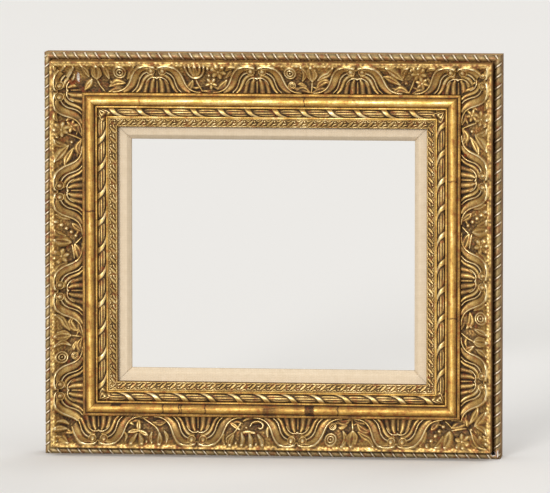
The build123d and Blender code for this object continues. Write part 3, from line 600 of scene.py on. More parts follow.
# %% Sprays
SPRAYS = {
    "bud": (
        ([(-9.5, 0.2, 0.5), (-9.6, 6.6, 3.2), (-9.4, 13, 1)], 3.4, "leaf"),
        ([(-9.6, 14.4, 0.6), (-13.6, 9.4, 1), (-13, 3.4, 0.5)], 2.7, "round"),
        ([(-9.2, 14.4, 0.6), (-5.4, 9.4, 1), (-6, 3.4, 0.5)], 2.7, "round"),
        ([(-9.4, 13.4, 0.8), (-7, 19, 0.9), (-2, 25.4, 0.7)], 2.2, "round"),
        ([(2, 20.8, 0.5), (9, 17, 2.6), (16.8, 17.4, 0.6)], 2.8, "leaf"),
        ([(-20.6, 24.4, 0.5), (-17, 19.4, 2.3), (-13.8, 14, 0.5)], 2.7, "leaf"),
        ([(-2.6, 0.8, 0.5), (-0.6, 6.6, 2.2), (2, 13.4, 0.5)], 2.9, "leaf"),
        ([(-22.4, 1, 0.5), (-19, 6.4, 2), (-16.4, 11.6, 0.5)], 2.8, "leaf"),
        ([(1.6, 25.6, 0.5), (9, 23.6, 1.8), (17.4, 24.8, 0.5)], 2.5, "leaf"),
        ([(19, 13.6, 0.5), (22, 8.4, 1.8), (25.4, 2, 0.5)], 2.6, "leaf"),
    ),
    "rose": (
        ([(-4.9, 0.6, 0.5), (-1.4, 7.4, 1.9), (-4.2, 14.4, 0.6)], 3.0, "leaf"),
        ([(4.1, 0.4, 0.5), (4.5, 7, 3.2), (4.7, 14, 1.1)], 3.4, "leaf"),
        ([(4.4, 15, 0.6), (0.6, 9.6, 1), (1.2, 3.4, 0.5)], 2.7, "round"),
        ([(5, 15, 0.6), (8.8, 9.6, 1), (8, 3.4, 0.5)], 2.7, "round"),
        ([(4.7, 14, 0.8), (4.2, 19, 0.9), (3.6, 25.6, 0.7)], 2.2, "round"),
        ([(9.6, 13.6, 0.6), (15, 10, 2), (20, 7.4, 1.8), (24.4, 1.8, 0.7)], 3.1, "leaf"),
        ([(9, 20.4, 0.6), (12.6, 16.4, 2.4), (17.6, 14.4, 1.7), (20.6, 16.8, 0.7)], 2.8, "leaf"),
        ([(4.4, 25.6, 0.6), (12, 23, 2), (20.4, 22, 0.6)], 2.6, "leaf"),
        ([(-11.6, 25.6, 0.5), (-4.4, 22, 2.4), (2.6, 25.2, 0.5)], 2.6, "leaf"),
        ([(-8.4, 17.6, 0.5), (-5.4, 17.4, 1.4), (-1, 19.4, 0.5)], 2.5, "leaf"),
    ),
    "daisy": (
        ([(-4.4, 13, 0.5), (-11, 7, 2.9), (-18.6, 0.8, 0.6)], 3.2, "leaf"),
        ([(-7, 17.4, 0.5), (-14.6, 12.6, 2.4), (-21.4, 9.6, 0.6)], 2.8, "leaf"),
        ([(1.6, 0.8, 0.5), (-3, 5, 2.1), (-4, 11, 0.5)], 2.9, "leaf"),
        ([(-14.6, 25.4, 0.5), (-7, 21.6, 2.5), (1, 25.2, 0.5)], 2.6, "leaf"),
        ([(1, 24.6, 0.7), (4, 18, 1), (6.4, 12, 0.7)], 2.3, "round"),
        ([(4, 25.6, 0.5), (11, 23.6, 2), (18.6, 24.2, 0.5)], 2.6, "leaf"),
        ([(18.4, 3.6, 0.5), (22.8, 1.6, 1.6), (27.6, 2.8, 0.5)], 2.5, "leaf"),
        ([(18.6, 11.4, 0.5), (21, 16, 1.6), (19.6, 21.4, 0.5)], 2.5, "leaf"),
    ),
    "berry": (
        ([(1.4, 15.4, 0.5), (0.4, 8, 3.5), (-1.6, 0.6, 0.6)], 3.4, "leaf"),
        ([(3.4, 18.6, 0.7), (10, 21.6, 3), (18, 23.6, 0.9)], 3.2, "leaf"),
        ([(3.4, 16, 0.4), (9, 17, 1), (16.4, 18.2, 0.5)], 2.6, "round"),
        ([(2.6, 25.4, 0.5), (9, 25.6, 1), (19, 25.8, 0.5)], 2.4, "round"),
        ([(-15.6, 16.4, 0.5), (-12.4, 20, 2.3), (-8.6, 25.2, 0.6)], 2.8, "leaf"),
        ([(-10.8, 1, 0.5), (-6.4, 4.4, 2.1), (-4.6, 10.4, 0.6)], 2.8, "leaf"),
        ([(20.4, 11.6, 0.5), (23, 6, 1.7), (27, 1.6, 0.5)], 2.6, "leaf"),
        ([(-24.6, 3, 0.5), (-22, 8.6, 1.7), (-19.6, 14, 0.5)], 2.5, "leaf"),
        ([(-3, 24.8, 0.5), (1, 21, 0.9), (3.4, 18, 0.6)], 2.2, "round"),
    ),
    "lily": (
        ([(5, 1.6, 1.9), (6, 4.8, 2.4), (8.2, 9.6, 0.8)], 3.6, "round"),
        ([(15, 1.8, 1.9), (13.6, 4.8, 2.4), (10.2, 9.6, 0.8)], 3.6, "round"),
        ([(-11.2, 1, 1.3), (-11.2, 4.8, 2.1), (-10.6, 10.6, 0.7)], 3.6, "leaf"),
        ([(8.4, 12.6, 0.8), (3.8, 10.4, 1.7), (0.4, 8.8, 0.6)], 3.2, "leaf"),
        ([(8.4, 12.6, 0.8), (13.6, 12.2, 1.7), (18, 11, 0.6)], 3.2, "leaf"),
        ([(8.4, 12.6, 0.8), (9, 17.2, 1.9), (8.4, 21.8, 0.7)], 3.2, "leaf"),
        ([(-17.8, 3.4, 0.5), (-17.6, 8, 1.4), (-14.8, 12.6, 0.5)], 2.9, "leaf"),
        ([(-10.6, 10.6, 0.7), (-7.4, 15.6, 0.8), (-1.6, 20, 0.9), (4, 23.6, 0.7)], 2.5, "round"),
        ([(-4.4, 20.4, 0.5), (-10.6, 18.8, 1.6), (-17, 21.4, 0.5)], 2.8, "leaf"),
        ([(14, 18, 0.5), (17.6, 21, 1.4), (20.6, 25.4, 0.5)], 2.6, "leaf"),
        ([(0.4, 24.8, 0.5), (7, 24.6, 0.9), (14, 25.4, 0.5)], 2.4, "leaf"),
        ([(-4.4, 2.6, 0.5), (-2.6, 6, 1.3), (-3.4, 11.4, 0.5)], 2.7, "leaf"),
        ([(20.4, 4.2, 0.5), (19.6, 7.6, 1), (21.6, 11.4, 0.5)], 2.6, "leaf"),
    ),
    "bell": (
        ([(15.4, 0.8, 1), (15.6, 4.6, 2), (13.2, 9.4, 0.8)], 3.5, "leaf"),
        ([(19, 3.6, 0.5), (18.8, 7.2, 0.8), (14.2, 11, 0.6)], 2.9, "round"),
        ([(4.6, 1, 1.6), (4, 5.4, 2.1), (5.6, 11.4, 0.9)], 3.6, "round"),
        ([(-3.8, 0.8, 1.8), (-3.4, 5, 2.4), (-1.6, 10.6, 1)], 3.6, "round"),
        ([(-14.6, 1.6, 1.6), (-13.2, 5.2, 2.2), (-9.4, 10.2, 1)], 3.6, "round"),
        ([(5.6, 11.4, 0.8), (0.6, 12.6, 1.1), (-6.4, 11.8, 0.8)], 3.0, "leaf"),
        ([(-2, 17.6, 0.8), (-4.6, 21.4, 1), (-10, 22.4, 1.1), (-14, 19.4, 1), (-12.6, 15.8, 0.9),
          (-9.4, 16.4, 0.7)], 3.4, "round"),
        ([(13.2, 11, 0.7), (9.6, 15.6, 0.8), (6.4, 21, 0.7)], 2.5, "round"),
        ([(7.6, 14.6, 0.5), (12.4, 18.2, 1.6), (17.6, 21.6, 0.5)], 2.8, "leaf"),
        ([(4.4, 22.4, 0.5), (0, 24.8, 1), (-6, 25.6, 0.5)], 2.4, "leaf"),
        ([(20.4, 2, 0.5), (22.4, 6.2, 1), (21.8, 10.4, 0.5)], 2.5, "leaf"),
        ([(-18.6, 8.6, 0.5), (-17.8, 13.2, 1.1), (-18.6, 18, 0.5)], 2.6, "leaf"),
    ),
    "tulip": (
        ([(-19.4, 0.4, 0.8), (-18, 6, 1), (-14.6, 10.6, 1.1), (-10.4, 12, 1.2), (-6.2, 10.6, 1.1), (-3, 6, 1),
          (-1.8, 0.4, 0.8)], 3.5, "round"),
        ([(-10.4, 0.6, 1), (-10.4, 6, 2), (-10.4, 11, 0.8)], 3.2, "leaf"),
        ([(-15.4, 0.8, 0.7), (-14.4, 5.4, 1.6), (-12.4, 9.8, 0.6)], 3.0, "round"),
        ([(-5.4, 0.8, 0.7), (-6.4, 5.4, 1.6), (-8.4, 9.8, 0.6)], 3.0, "round"),
        ([(-10.4, 12.4, 0.8), (-8.6, 17.4, 1), (-4, 25, 0.7)], 2.3, "round"),
        ([(-19.6, 25.2, 0.5), (-15.6, 20.4, 2.3), (-13.2, 14.8, 0.6)], 2.7, "leaf"),
        ([(-3, 24.4, 0.5), (5, 25, 1.4), (13.6, 25.4, 0.5)], 2.4, "leaf"),
        ([(9.4, 23, 0.5), (14, 19.4, 2.2), (18, 14.4, 0.6)], 2.7, "leaf"),
        ([(18, 4.6, 0.5), (22, 1.8, 1.6), (27, 1.6, 0.5)], 2.6, "leaf"),
        ([(17.6, 11.6, 0.5), (20.6, 8.6, 1.4), (22.8, 5, 0.5)], 2.5, "leaf"),
    ),
}
# Flowers as (s, d, reach, petals), roses as (s, d, reach) and berries as (s, d, radius)
SPRAY_FLOWERS = {
    "daisy": ((10.6, 6.6, 5.6, 7), (13, 16, 4.8, 6)),
    "berry": ((14, 6.4, 5.8, 6),),
    "tulip": ((10.8, 5.8, 5.8, 6), (3.8, 17.4, 4.6, 5)),
}
SPRAY_ROSES = {"rose": ((-15.2, 6.8, 5.8), (-14, 18.6, 3.6)), "bud": ((12, 6.8, 6.2),)}
SPRAY_BERRIES = {
    "bud": ((3.6, 16.4, 1.4),),
    "daisy": ((4, 3.4, 1.5), (-1.4, 16, 1.7)),
    "berry": tuple((-18.2 + 3.4 * k, 2.8 + 4.2 * k, 2.1) for k in range(5)),
    "tulip": ((1.4, 3, 1.6), (2, 9.6, 1.6)),
    "lily": ((8.4, 12.4, 1.6), (0.8, 3.2, 1.4)),
    "bell": ((10, 3, 1.5), (-8.8, 2.2, 1.4), (1.4, 16.4, 1.5)),
}
# How much fuller the strokes of a spray are than their listed widths
FULLNESS = {"leaf": 1.6, "round": 1.2}


def carve_spray(relief, name, hand, middle):
    """One spray of flowers and leaves, turned to either hand."""
    for stations, rise, form in SPRAYS[name]:
        carve(relief, [(middle + hand * s, d, FULLNESS[form] * w) for s, d, w in stations], rise, form)
    for s, d, reach, petals in SPRAY_FLOWERS.get(name, ()):
        flower(relief, middle + hand * s, d, reach, petals)
    for s, d, reach in SPRAY_ROSES.get(name, ()):
        rose(relief, middle + hand * s, d, reach)
    for s, d, radius in SPRAY_BERRIES.get(name, ()):
        ball(relief, middle + hand * s, d, radius, BERRY_RISE)


print("strokes in each spray:", ", ".join(f"{name} {len(strokes)}" for name, strokes in SPRAYS.items()))

# %% [markdown]
# The ornament was pressed in long runs and cut wherever a rail ended, so each rail starts at another place
# in the pattern. The palmettes keep one pitch, and the sprays between them are listed rail by rail. Picking
# the sprays at random would be shorter, but the rails would no longer look like the real ones.

# %% Order of the ornament
PALMETTE_PITCH = 92.0
# How far from the start of each rail its first palmette lies
PALMETTE_START = {"top": 12.7, "right": 21.7, "bottom": 1.1, "left": 58.9}
# The sprays along each rail, each with the hand that it is turned to
SPRAY_ORDER = {
    "top": (("bud", 1), ("tulip", 1), ("rose", 1), ("daisy", 1), ("daisy", 1)),
    "right": (("daisy", -1), ("berry", 1), ("bud", -1), ("daisy", 1)),
    "bottom": (("berry", -1), ("rose", -1), ("bell", 1), ("lily", 1), ("daisy", 1)),
    "left": (("lily", -1), ("rose", 1), ("berry", -1), ("daisy", 1), ("tulip", -1)),
}
# At its left end the top strip was cut short and patched. Leaves fill that corner in place of a palmette, and
# their s counts from the rail's end
CORNER_LEAVES = {"top": (
    ([(19.4, 16.4, 0.8), (23.6, 9.4, 2.5), (28.4, 2.4, 0.9)], 3.3, "leaf"),
    ([(23.4, 18.6, 0.6), (27, 14.6, 1.5), (29, 9.6, 0.6)], 2.4, "round"),
    ([(15.4, 7.4, 0.5), (18.6, 3.6, 1.2), (21.4, 1.2, 0.5)], 2.6, "round"),
)}


def carve_rail(relief, side):
    """All the palmettes and sprays of one rail."""
    half = LENGTH[side] / 2
    start = PALMETTE_START[side] - half
    for leaf, rise, form in CORNER_LEAVES.get(side, ()):
        carve(relief, [(s - half, d, w) for s, d, w in leaf], rise, form)
    first_palmette = 1 if side in CORNER_LEAVES else 0
    for k in range(first_palmette, int((half - start) / PALMETTE_PITCH) + 1):
        carve_palmette(relief, start + k * PALMETTE_PITCH)
    # A rail that starts late in the pattern has room for a spray before its first palmette
    first_spray = -0.5 if PALMETTE_START[side] > PALMETTE_PITCH / 2 else 0.5
    for k, (name, hand) in enumerate(SPRAY_ORDER[side]):
        carve_spray(relief, name, hand, start + (k + first_spray) * PALMETTE_PITCH)


print("sprays on the frame:", sum(len(order) for order in SPRAY_ORDER.values()))

# %% [markdown]
# The cove is a hollow arc between the crest and the outer fillet. Its centre could be moved about until the
# arc fits, but it also follows from the arc's two ends and its radius, as with a pair of compasses on
# paper. The strip and the wood under it share this arc, so they meet without a gap.

# %% The cove's arc
cove_chord = math.hypot(COVE_END - COVE_START, CREST_HEIGHT - COVE_FOOT)
cove_rise = math.sqrt(COVE_RADIUS**2 - (cove_chord / 2) ** 2)
COVE_CENTRE = np.array([
    (COVE_START + COVE_END) / 2 + cove_rise * (CREST_HEIGHT - COVE_FOOT) / cove_chord,
    (CREST_HEIGHT + COVE_FOOT) / 2 + cove_rise * (COVE_END - COVE_START) / cove_chord,
])
# The strip stops this far short of the fillet
COVE_GAP = 0.1


def cove_angle(d):
    """The angle at the cove's centre of the point at d."""
    return 2 * math.pi - math.acos((d - COVE_CENTRE[0]) / COVE_RADIUS)


def cove_points(lift, count):
    """Points down the cove's arc, lifted off the wood."""
    turns = np.linspace(cove_angle(COVE_START), cove_angle(COVE_END - COVE_GAP), count)
    return COVE_CENTRE + (COVE_RADIUS - lift) * np.stack([np.cos(turns), np.sin(turns)], -1)


COVE_ARC = COVE_RADIUS * (cove_angle(COVE_END) - cove_angle(COVE_START))
print(f"the cove is {COVE_ARC:.1f} mm round its arc")

# %% [markdown]
# The strip's section starts with a small rounded rim on the crest, runs down the cove, and returns along
# the wood behind it. A curve could be drawn and swept along the rail. As a list of points, each point of
# its front can later be lifted by itself, as the carving needs.

# %% Section of the foliage strip
# The distance between points, and how thick the strip is where nothing is carved
CELL, BACKING = 0.52, 1.2
# The rim on the crest: its width, its height, and the height of its straight sides
RIM_WIDTH, RIM_HEIGHT, RIM_SIDE = 2.0, 1.5, 0.8


def foliage_section():
    """The section as (d, h), the first and last point of its carved front, and which way that front lifts."""
    front = cove_points(BACKING, int(COVE_ARC / CELL))
    # From the rim the front first falls in a few steps to the cove
    crest = np.linspace((ROPE_WIDTH + RIM_WIDTH + 0.1, CREST_HEIGHT + 0.9), front[0], 4)[:-1]
    front = np.vstack([crest, front])
    inward = COVE_CENTRE - front
    out = inward / np.linalg.norm(inward, axis=1)[:, None] + np.array([0.0, 1.0])
    out /= np.linalg.norm(out, axis=1)[:, None]
    turns = np.linspace(math.pi, 0.15 * math.pi, 9)
    rim = np.stack([ROPE_WIDTH + RIM_WIDTH / 2 * (1 + np.cos(turns)),
                    CREST_HEIGHT + RIM_SIDE + (RIM_HEIGHT - RIM_SIDE) * np.sin(turns)], -1)
    behind = cove_points(0.0, 8)[::-1]
    heel = np.array([[ROPE_WIDTH, CREST_HEIGHT]])
    return np.vstack([rim, front, behind, heel]), len(rim), len(rim) + len(front), out


print("points round the section:", len(foliage_section()[0]))

# %% [markdown]
# Now the strip is carved. A bump or displacement map on a plain strip would be lighter. Points every half
# millimetre carry the carving as real geometry instead, so that light and shadow fall on it from any side.
# The tone follows the hollows, as the brown wash did, and adds painted shade where the cove and the fan lie
# deep.

# %% Foliage strips
# The ground between the strokes is uneven: its lift and the size of its ripple
GROUND_LIFT, GROUND_RIPPLE = 0.3, 0.16
# How much the carving is smoothed, because gesso fills its finest cuts
SOFTENING = 0.4
# How much darker the foot of the cove is toned, from this d on and over this width: the wash gathered there,
# and painted shade where the cove falls deep
FOOT_WASH_AND_SHADE, FOOT_START, FOOT_WIDTH = 0.22, 10.0, 14.0
# The ground near the crest is toned lighter: how much, to which d, and what counts as ground
CREST_LIGHT, CREST_REACH, GROUND_TOP = 0.24, 12.0, 1.6
# Each rail has aged in its own way: how much darker its ornament is toned
ORNAMENT_TONE = {"top": 0.02, "right": -0.01, "bottom": 0.07, "left": 0.03}


def foliage_tone(relief, lift, side):
    """How dark the carving is toned, from its own hollows and its place in the cove, with painted shade at
    the cove's foot.
    """
    foot = np.clip((relief["d"] - FOOT_START) / FOOT_WIDTH, 0, 1) ** 1.5
    crown = np.clip(1 - relief["d"] / CREST_REACH, 0, 1) * np.clip(GROUND_TOP - lift, 0, 1)
    tone = FOOT_WASH_AND_SHADE * foot - CREST_LIGHT * crown + blur(relief["tone"], 1)
    return np.clip(hollow_of(lift, reach=3, depth=2.5, middle=0.46 + ORNAMENT_TONE[side]) + tone, 0, 1)


def foliage_mesh(side):
    """The foliage strip of one rail, as a closed mesh with its hollows marked."""
    half = LENGTH[side] / 2
    section, first, last, out = foliage_section()
    stations = np.linspace(-1, 1, int(2 * half / CELL))[:, None]
    d, h = (np.tile(section[:, k], (len(stations), 1)) for k in range(2))
    s = stations * (half - d)
    ripple = np.sin(1.9 * s + 1.3 * np.sin(1.7 * d)) + np.sin(2.3 * d + 1.1 * np.sin(1.3 * s))
    ground = GROUND_LIFT + GROUND_RIPPLE * ripple[:, first:last]
    relief = {"s": s[:, first:last], "d": d[:, first:last] - COVE_START, "lift": ground}
    relief["tone"] = np.zeros_like(ground)
    carve_rail(relief, side)
    lift = (1 - SOFTENING) * relief["lift"] + SOFTENING * blur(relief["lift"], 1)
    hollow = np.full(d.shape, 0.5)
    # The plain rim is rubbed in patches
    hollow[:, :first] = 0.46 + 0.12 * np.sin(0.9 * s[:, :first] + 2 * np.sin(0.37 * s[:, :first]))
    hollow[:, first:last] = foliage_tone(relief, lift, side)
    d[:, first:last] += lift * out[:, 0]
    h[:, first:last] += lift * out[:, 1]
    s = stations * (half - d)
    mesh = tube_mesh(f"foliage_{side}", np.stack([s, -d, h], -1), {"hollow": hollow}, "capped")
    mesh.transform(rail_matrix(side))
    return mesh


for side in SIDES:
    mesh = foliage_mesh(side)
    mark_chips(mesh)
    new_piece(f"carved_foliage_{side}", mesh, matt_gilding, [f"foliage_{side}"])
    print(mesh.name, len(mesh.polygons), "faces")

# %% [markdown]
# Bare wood shows only on the back and in the rabbet. It has long grain and a grey-brown cast from age. A
# picture of wood could be wrapped round each rail; noise stretched along the rail gives grain that never
# repeats. The rails and the liner run both ways round the frame, so the finish is made once for each
# direction of the grain.

# %% Wood
WOOD_STOPS = [(0.25, "75583c"), (0.5, "a5845c"), (0.75, "c4a57c")]
# A streak of grain: how wide, how many times longer and how deep it is
GRAIN_WIDTH, GRAIN_STRETCH, RIDGE_DEPTH = 1.6, 18.0, 0.2
# The size of a stain, and its share in the tone
STAIN_SIZE, STAIN_SHARE = 40.0, 0.3
GRAIN_AXIS = {"level": 0, "upright": 2}
GRAIN_OF = {"top": "level", "bottom": "level", "left": "upright", "right": "upright"}


def wood_grain(tree, shader, axis):
    """Aged bare wood with its grain along one axis, wired into a shader: dry, with fine raised grain."""
    spot = put(tree, "ShaderNodeTexCoord").outputs["Object"]
    scale = [1 / (GRAIN_WIDTH * MM)] * 3
    scale[axis] /= GRAIN_STRETCH
    stretched = put(tree, "ShaderNodeMapping", inputs={"Vector": spot, "Scale": scale}).outputs[0]
    grain = put(tree, "ShaderNodeTexNoise", inputs={"Vector": stretched, "Scale": 1.0, "Detail": 5.0})
    stain = put(tree, "ShaderNodeTexNoise",
                inputs={"Vector": spot, "Scale": 1 / (STAIN_SIZE * MM), "Detail": 3.0})
    tone = put(tree, "ShaderNodeMix", inputs={0: STAIN_SHARE, 2: grain.outputs[0], 3: stain.outputs[0]})
    colour = put(tree, "ShaderNodeValToRGB", {"stops": WOOD_STOPS}, {0: tone.outputs[0]})
    bump = put(tree, "ShaderNodeBump",
               inputs={"Height": grain.outputs[0], "Strength": 0.3, "Distance": RIDGE_DEPTH * MM})
    tree.links.new(colour.outputs[0], shader.inputs["Base Color"])
    tree.links.new(bump.outputs[0], shader.inputs["Normal"])
    shader.inputs["Roughness"].default_value = 0.75


bare_wood, gilded_rail = {}, {}
for name, axis in GRAIN_AXIS.items():
    bare_wood[name], tree, shader = new_material(f"bare_wood_{name}")
    wood_grain(tree, shader, axis)
    # The rail's own finish: burnished gold in front, and bare wood where the bare attribute says so
    gilded_rail[name] = gilding(
        f"burnished_gilding_{name}", BURNISHED_STOPS, roughness=0.42, metallic=0.8, wash=0.12)
    tree = gilded_rail[name].node_tree
    gold = next(n for n in tree.nodes if n.type == "BSDF_PRINCIPLED")
    ending = next(n for n in tree.nodes if n.type == "OUTPUT_MATERIAL")
    wood = put(tree, "ShaderNodeBsdfPrincipled")
    wood_grain(tree, wood, axis)
    bare = put(tree, "ShaderNodeAttribute", {"attribute_name": "bare"}).outputs["Fac"]
    both = put(tree, "ShaderNodeMixShader", inputs={0: bare, 1: gold.outputs[0], 2: wood.outputs[0]})
    tree.links.new(both.outputs[0], ending.inputs["Surface"])
print("wood:", ", ".join(m.name for m in bare_wood.values()))

# %% [markdown]
# The rails are one moulding. A Bevel modifier with a weight on each edge could soften it. Here its section
# is drawn as corners, each rounded a little as gesso rounds wood, and every corner carries two marks: how
# hollow it is, and whether it was left bare. The torus, a half-round member, is an arc.

# %% Section of the rails
QUIRK_DEPTH = 0.8
QUIRK_HEIGHT = TORUS_HEIGHT - TORUS_RADIUS - QUIRK_DEPTH
TORUS_END = TORUS_START + 2 * TORUS_RADIUS
torus = []
for t in np.linspace(math.pi, 0, 19):
    d = TORUS_START + TORUS_RADIUS * (1 + math.cos(t))
    h = TORUS_HEIGHT - TORUS_RADIUS * (1 - math.sin(t))
    torus.append((d, h, 0, 0.84 - 0.5 * math.sin(t), 0))
# Corners of the section as (d, h, rounding, hollow, bare), from the outer back corner over the front
RAIL_CORNERS = [
    (0, 0, 0.8, 0.8, 0.9), (0, 4, 0, 0.85, 0.3), (0, LEDGE_HEIGHT, 0.6, 0.55, 0),
    # The step from the crest down to the rope is toned dark: brown wash, and painted shade of the step
    (ROPE_WIDTH, LEDGE_HEIGHT, 0.2, 0.82, 0), (ROPE_WIDTH, CREST_HEIGHT, 0, 0.66, 0),
    (COVE_START, CREST_HEIGHT, 0, 1, 0), *[(d, h, 0, 1, 0) for d, h in cove_points(0.0, 7)[1:-1]],
    (COVE_END, COVE_FOOT, 0.2, 1, 0), (COVE_END, FILLET_HEIGHT, 0.8, 0.58, 0),
    (FILLET_END, FILLET_HEIGHT, 0.8, 0.58, 0), (FILLET_END, QUIRK_HEIGHT, 0.1, 1, 0),
    (TORUS_START, QUIRK_HEIGHT, 0.1, 1, 0), *torus,
    (TORUS_END, QUIRK_HEIGHT, 0.1, 1, 0), (MIDDLE_FILLET, QUIRK_HEIGHT, 0.1, 1, 0),
    (MIDDLE_FILLET, MIDDLE_FILLET_HEIGHT, 0.6, 0.45, 0), (RIBBON_START, MIDDLE_FILLET_HEIGHT, 0.6, 0.4, 0),
    (RIBBON_START, RIBBON_BED, 0.2, 1, 0), (RIBBON_END, RIBBON_BED, 0.2, 1, 0),
    (RIBBON_END, INNER_FILLET_HEIGHT, 0.6, 0.36, 0), (LEAF_START, INNER_FILLET_HEIGHT, 0.6, 0.36, 0),
    (LEAF_START, LEAF_BED, 0.2, 1, 0), (MOULDING_WIDTH, LIP_HEIGHT, 0.3, 0.6, 0),
    (MOULDING_WIDTH, RABBET_SHOULDER, 0.4, 0.9, 0.3), (RABBET_WALL, RABBET_SHOULDER, 0.3, 1, 1),
    (RABBET_WALL, 0, 0.8, 1, 1),
]


def round_corner(before, here, after, rounding, steps):
    """Points along a corner that is rounded off, at steps from 0 to 1."""
    start, end = (here + (other - here) * min(rounding / np.linalg.norm(other - here), 0.45)
                  for other in (before, after))
    return [(1 - t) ** 2 * start + 2 * t * (1 - t) * here + t**2 * end for t in steps]


def rounded_section(corners):
    """The section with each corner rounded, and its marks kept."""
    places = [np.array(corner[:2], float) for corner in corners]
    points = []
    for k, (_, _, rounding, hollow, bare) in enumerate(corners):
        before, here, after = places[k - 1], places[k], places[(k + 1) % len(places)]
        curve = round_corner(before, here, after, rounding, (0, 0.3, 0.7, 1)) if rounding else [here]
        points += [(*spot, hollow, bare) for spot in curve]
    return np.array(points)


print("points round the moulding:", len(rounded_section(RAIL_CORNERS)))

# %% [markdown]
# The moulding is cut to four lengths. Straight lengths would have the right shape, but their highlights
# would run dead straight. Small swells along the length make them wander as they do on hand-laid gesso.
# Each rail has aged in its own way, fine cracks cross the torus, and the bottom rail has its losses. These
# have little depth, so they are drawn in the hollow attribute, which darkens them.

# %% Rails
RAIL_CELL = 1.0
# How high the gesso swells, and how far the tone of the flat members wanders
SWELL, TONE_RIPPLE = 0.05, 0.09
# How much darker the burnished gold of each rail has become
RAIL_TONE = {"top": -0.06, "right": 0.03, "bottom": 0.1, "left": 0.08}
# Losses on a rail as (s, half length, from d, to d, how dark)
RAIL_LOSSES = {"bottom": ((-35.8, 4.2, 38, 47.8, 0.46), (142, 4.5, 46, 48, 0.6), (1.3, 6, 38, 46, 0.2))}
# Fine cracks across the torus, drawn a little wider than they are
RAIL_CRACKS = {"bottom": (99, 84, 82, 60, -62), "top": (-120, 31), "left": (40,), "right": (-70, 55)}
CRACK_WIDTH, CRACK_DARK = 0.5, 0.5


def rail_mesh(side):
    """One mitred length of the moulding."""
    half = LENGTH[side] / 2
    section = rounded_section(RAIL_CORNERS)
    stations = np.linspace(-1, 1, int(2 * half / RAIL_CELL))[:, None]
    d, h, hollow, bare = (np.tile(section[:, k], (len(stations), 1)) for k in range(4))
    s = stations * (half - d)
    swell = np.sin(s / 23 + d / 9) + 0.6 * np.sin(s / 8.3 - d / 5)
    h += np.where(h > RABBET_SHOULDER + 1, SWELL * swell, 0)
    hollow += np.where(hollow < 0.6, TONE_RIPPLE * np.sin(s / 17 + d) * np.sin(s / 6.1 + 2 * d), 0)
    hollow += RAIL_TONE[side]
    on_torus = (d > TORUS_START) & (d < TORUS_END) & (h > QUIRK_HEIGHT)
    ragged = 0.3 * np.sin(d * 3.1) + 0.2 * np.sin(d * 1.3 + 1)
    for place, reach, start, end, dark in RAIL_LOSSES.get(side, ()):
        hollow += dark * ((np.abs(s - place + ragged) < reach) & (d > start) & (d < end) & (h > RIBBON_BED))
    for place in RAIL_CRACKS.get(side, ()):
        hollow += CRACK_DARK * np.exp(-(((s - place - 0.4 * np.sin(d)) / CRACK_WIDTH) ** 2)) * on_torus
    mesh = tube_mesh(RAIL_NODE[side], np.stack([s, -d, h], -1), {"hollow": hollow, "bare": bare}, "capped")
    mesh.transform(rail_matrix(side))
    return mesh


for side in SIDES:
    mesh = rail_mesh(side)
    new_piece(f"gilded_rail_{side}", mesh, gilded_rail[GRAIN_OF[side]], [RAIL_NODE[side]])
    print(mesh.name, len(mesh.polygons), "faces")

# %% [markdown]
# Rope, ribbon and leaf band repeat one small motif many times along a rail. An Array modifier could repeat
# it too. A Geometry Nodes tree lays it end to end, welds the joins and sets the finish in one go, and the
# same tree serves all three. Only one repeat is modelled, as a short open tube.


# %% Repeating strips
def new_tree(name, inputs):
    """An empty Geometry Nodes tree with named inputs, and the sockets that give their values."""
    tree = bpy.data.node_groups.new(name, "GeometryNodeTree")
    for label, kind in inputs.items():
        tree.interface.new_socket(label, in_out="INPUT", socket_type=f"NodeSocket{kind}")
    tree.interface.new_socket("Geometry", in_out="OUTPUT", socket_type="NodeSocketGeometry")
    return tree, put(tree, "NodeGroupInput").outputs


def repeat_tree():
    """A tree that repeats a mesh along X: inputs Pitch, Count and Material."""
    weld_distance = 0.01
    tree, given = new_tree("repeat_along_rail", {
        "Geometry": "Geometry", "Pitch": "Float", "Count": "Int", "Material": "Material"})
    run = put(tree, "ShaderNodeMath", {"operation": "MULTIPLY"}, {0: given["Pitch"], 1: given["Count"]})
    start = put(tree, "ShaderNodeMath", {"operation": "MULTIPLY"}, {0: run.outputs[0], 1: -0.5})
    start_at = put(tree, "ShaderNodeCombineXYZ", inputs={0: start.outputs[0]})
    step = put(tree, "ShaderNodeCombineXYZ", inputs={0: given["Pitch"]})
    line = put(tree, "GeometryNodeMeshLine", {"mode": "OFFSET"}, {
        "Count": given["Count"], "Start Location": start_at.outputs[0], "Offset": step.outputs[0]})
    copies = put(tree, "GeometryNodeInstanceOnPoints",
                 inputs={"Points": line.outputs[0], "Instance": given["Geometry"]})
    real = put(tree, "GeometryNodeRealizeInstances", inputs={"Geometry": copies.outputs[0]})
    welded = put(tree, "GeometryNodeMergeByDistance",
                 inputs={"Geometry": real.outputs[0], "Distance": weld_distance})
    done = put(tree, "GeometryNodeSetMaterial",
               inputs={"Geometry": welded.outputs[0], "Material": given["Material"]})
    put(tree, "NodeGroupOutput", inputs={"Geometry": done.outputs[0]})
    return tree


def grow(tree, seed_mesh, values):
    """Run a Geometry Nodes tree on a mesh and keep the result as a plain mesh."""
    holder = bpy.data.objects.new("holder", seed_mesh)
    bpy.context.scene.collection.objects.link(holder)
    modifier = holder.modifiers.new("grow", "NODES")
    modifier.node_group = tree
    for item in tree.interface.items_tree:
        if item.in_out == "INPUT" and item.name in values:
            modifier[item.identifier] = values[item.name]
    view = bpy.context.evaluated_depsgraph_get()
    grown = bpy.data.meshes.new_from_object(holder.evaluated_get(view))
    holder.modifiers.clear()
    bpy.data.objects.remove(holder)
    return grown


repeat = repeat_tree()
print("inputs of the tree:", ", ".join(i.name for i in repeat.interface.items_tree if i.in_out == "INPUT"))

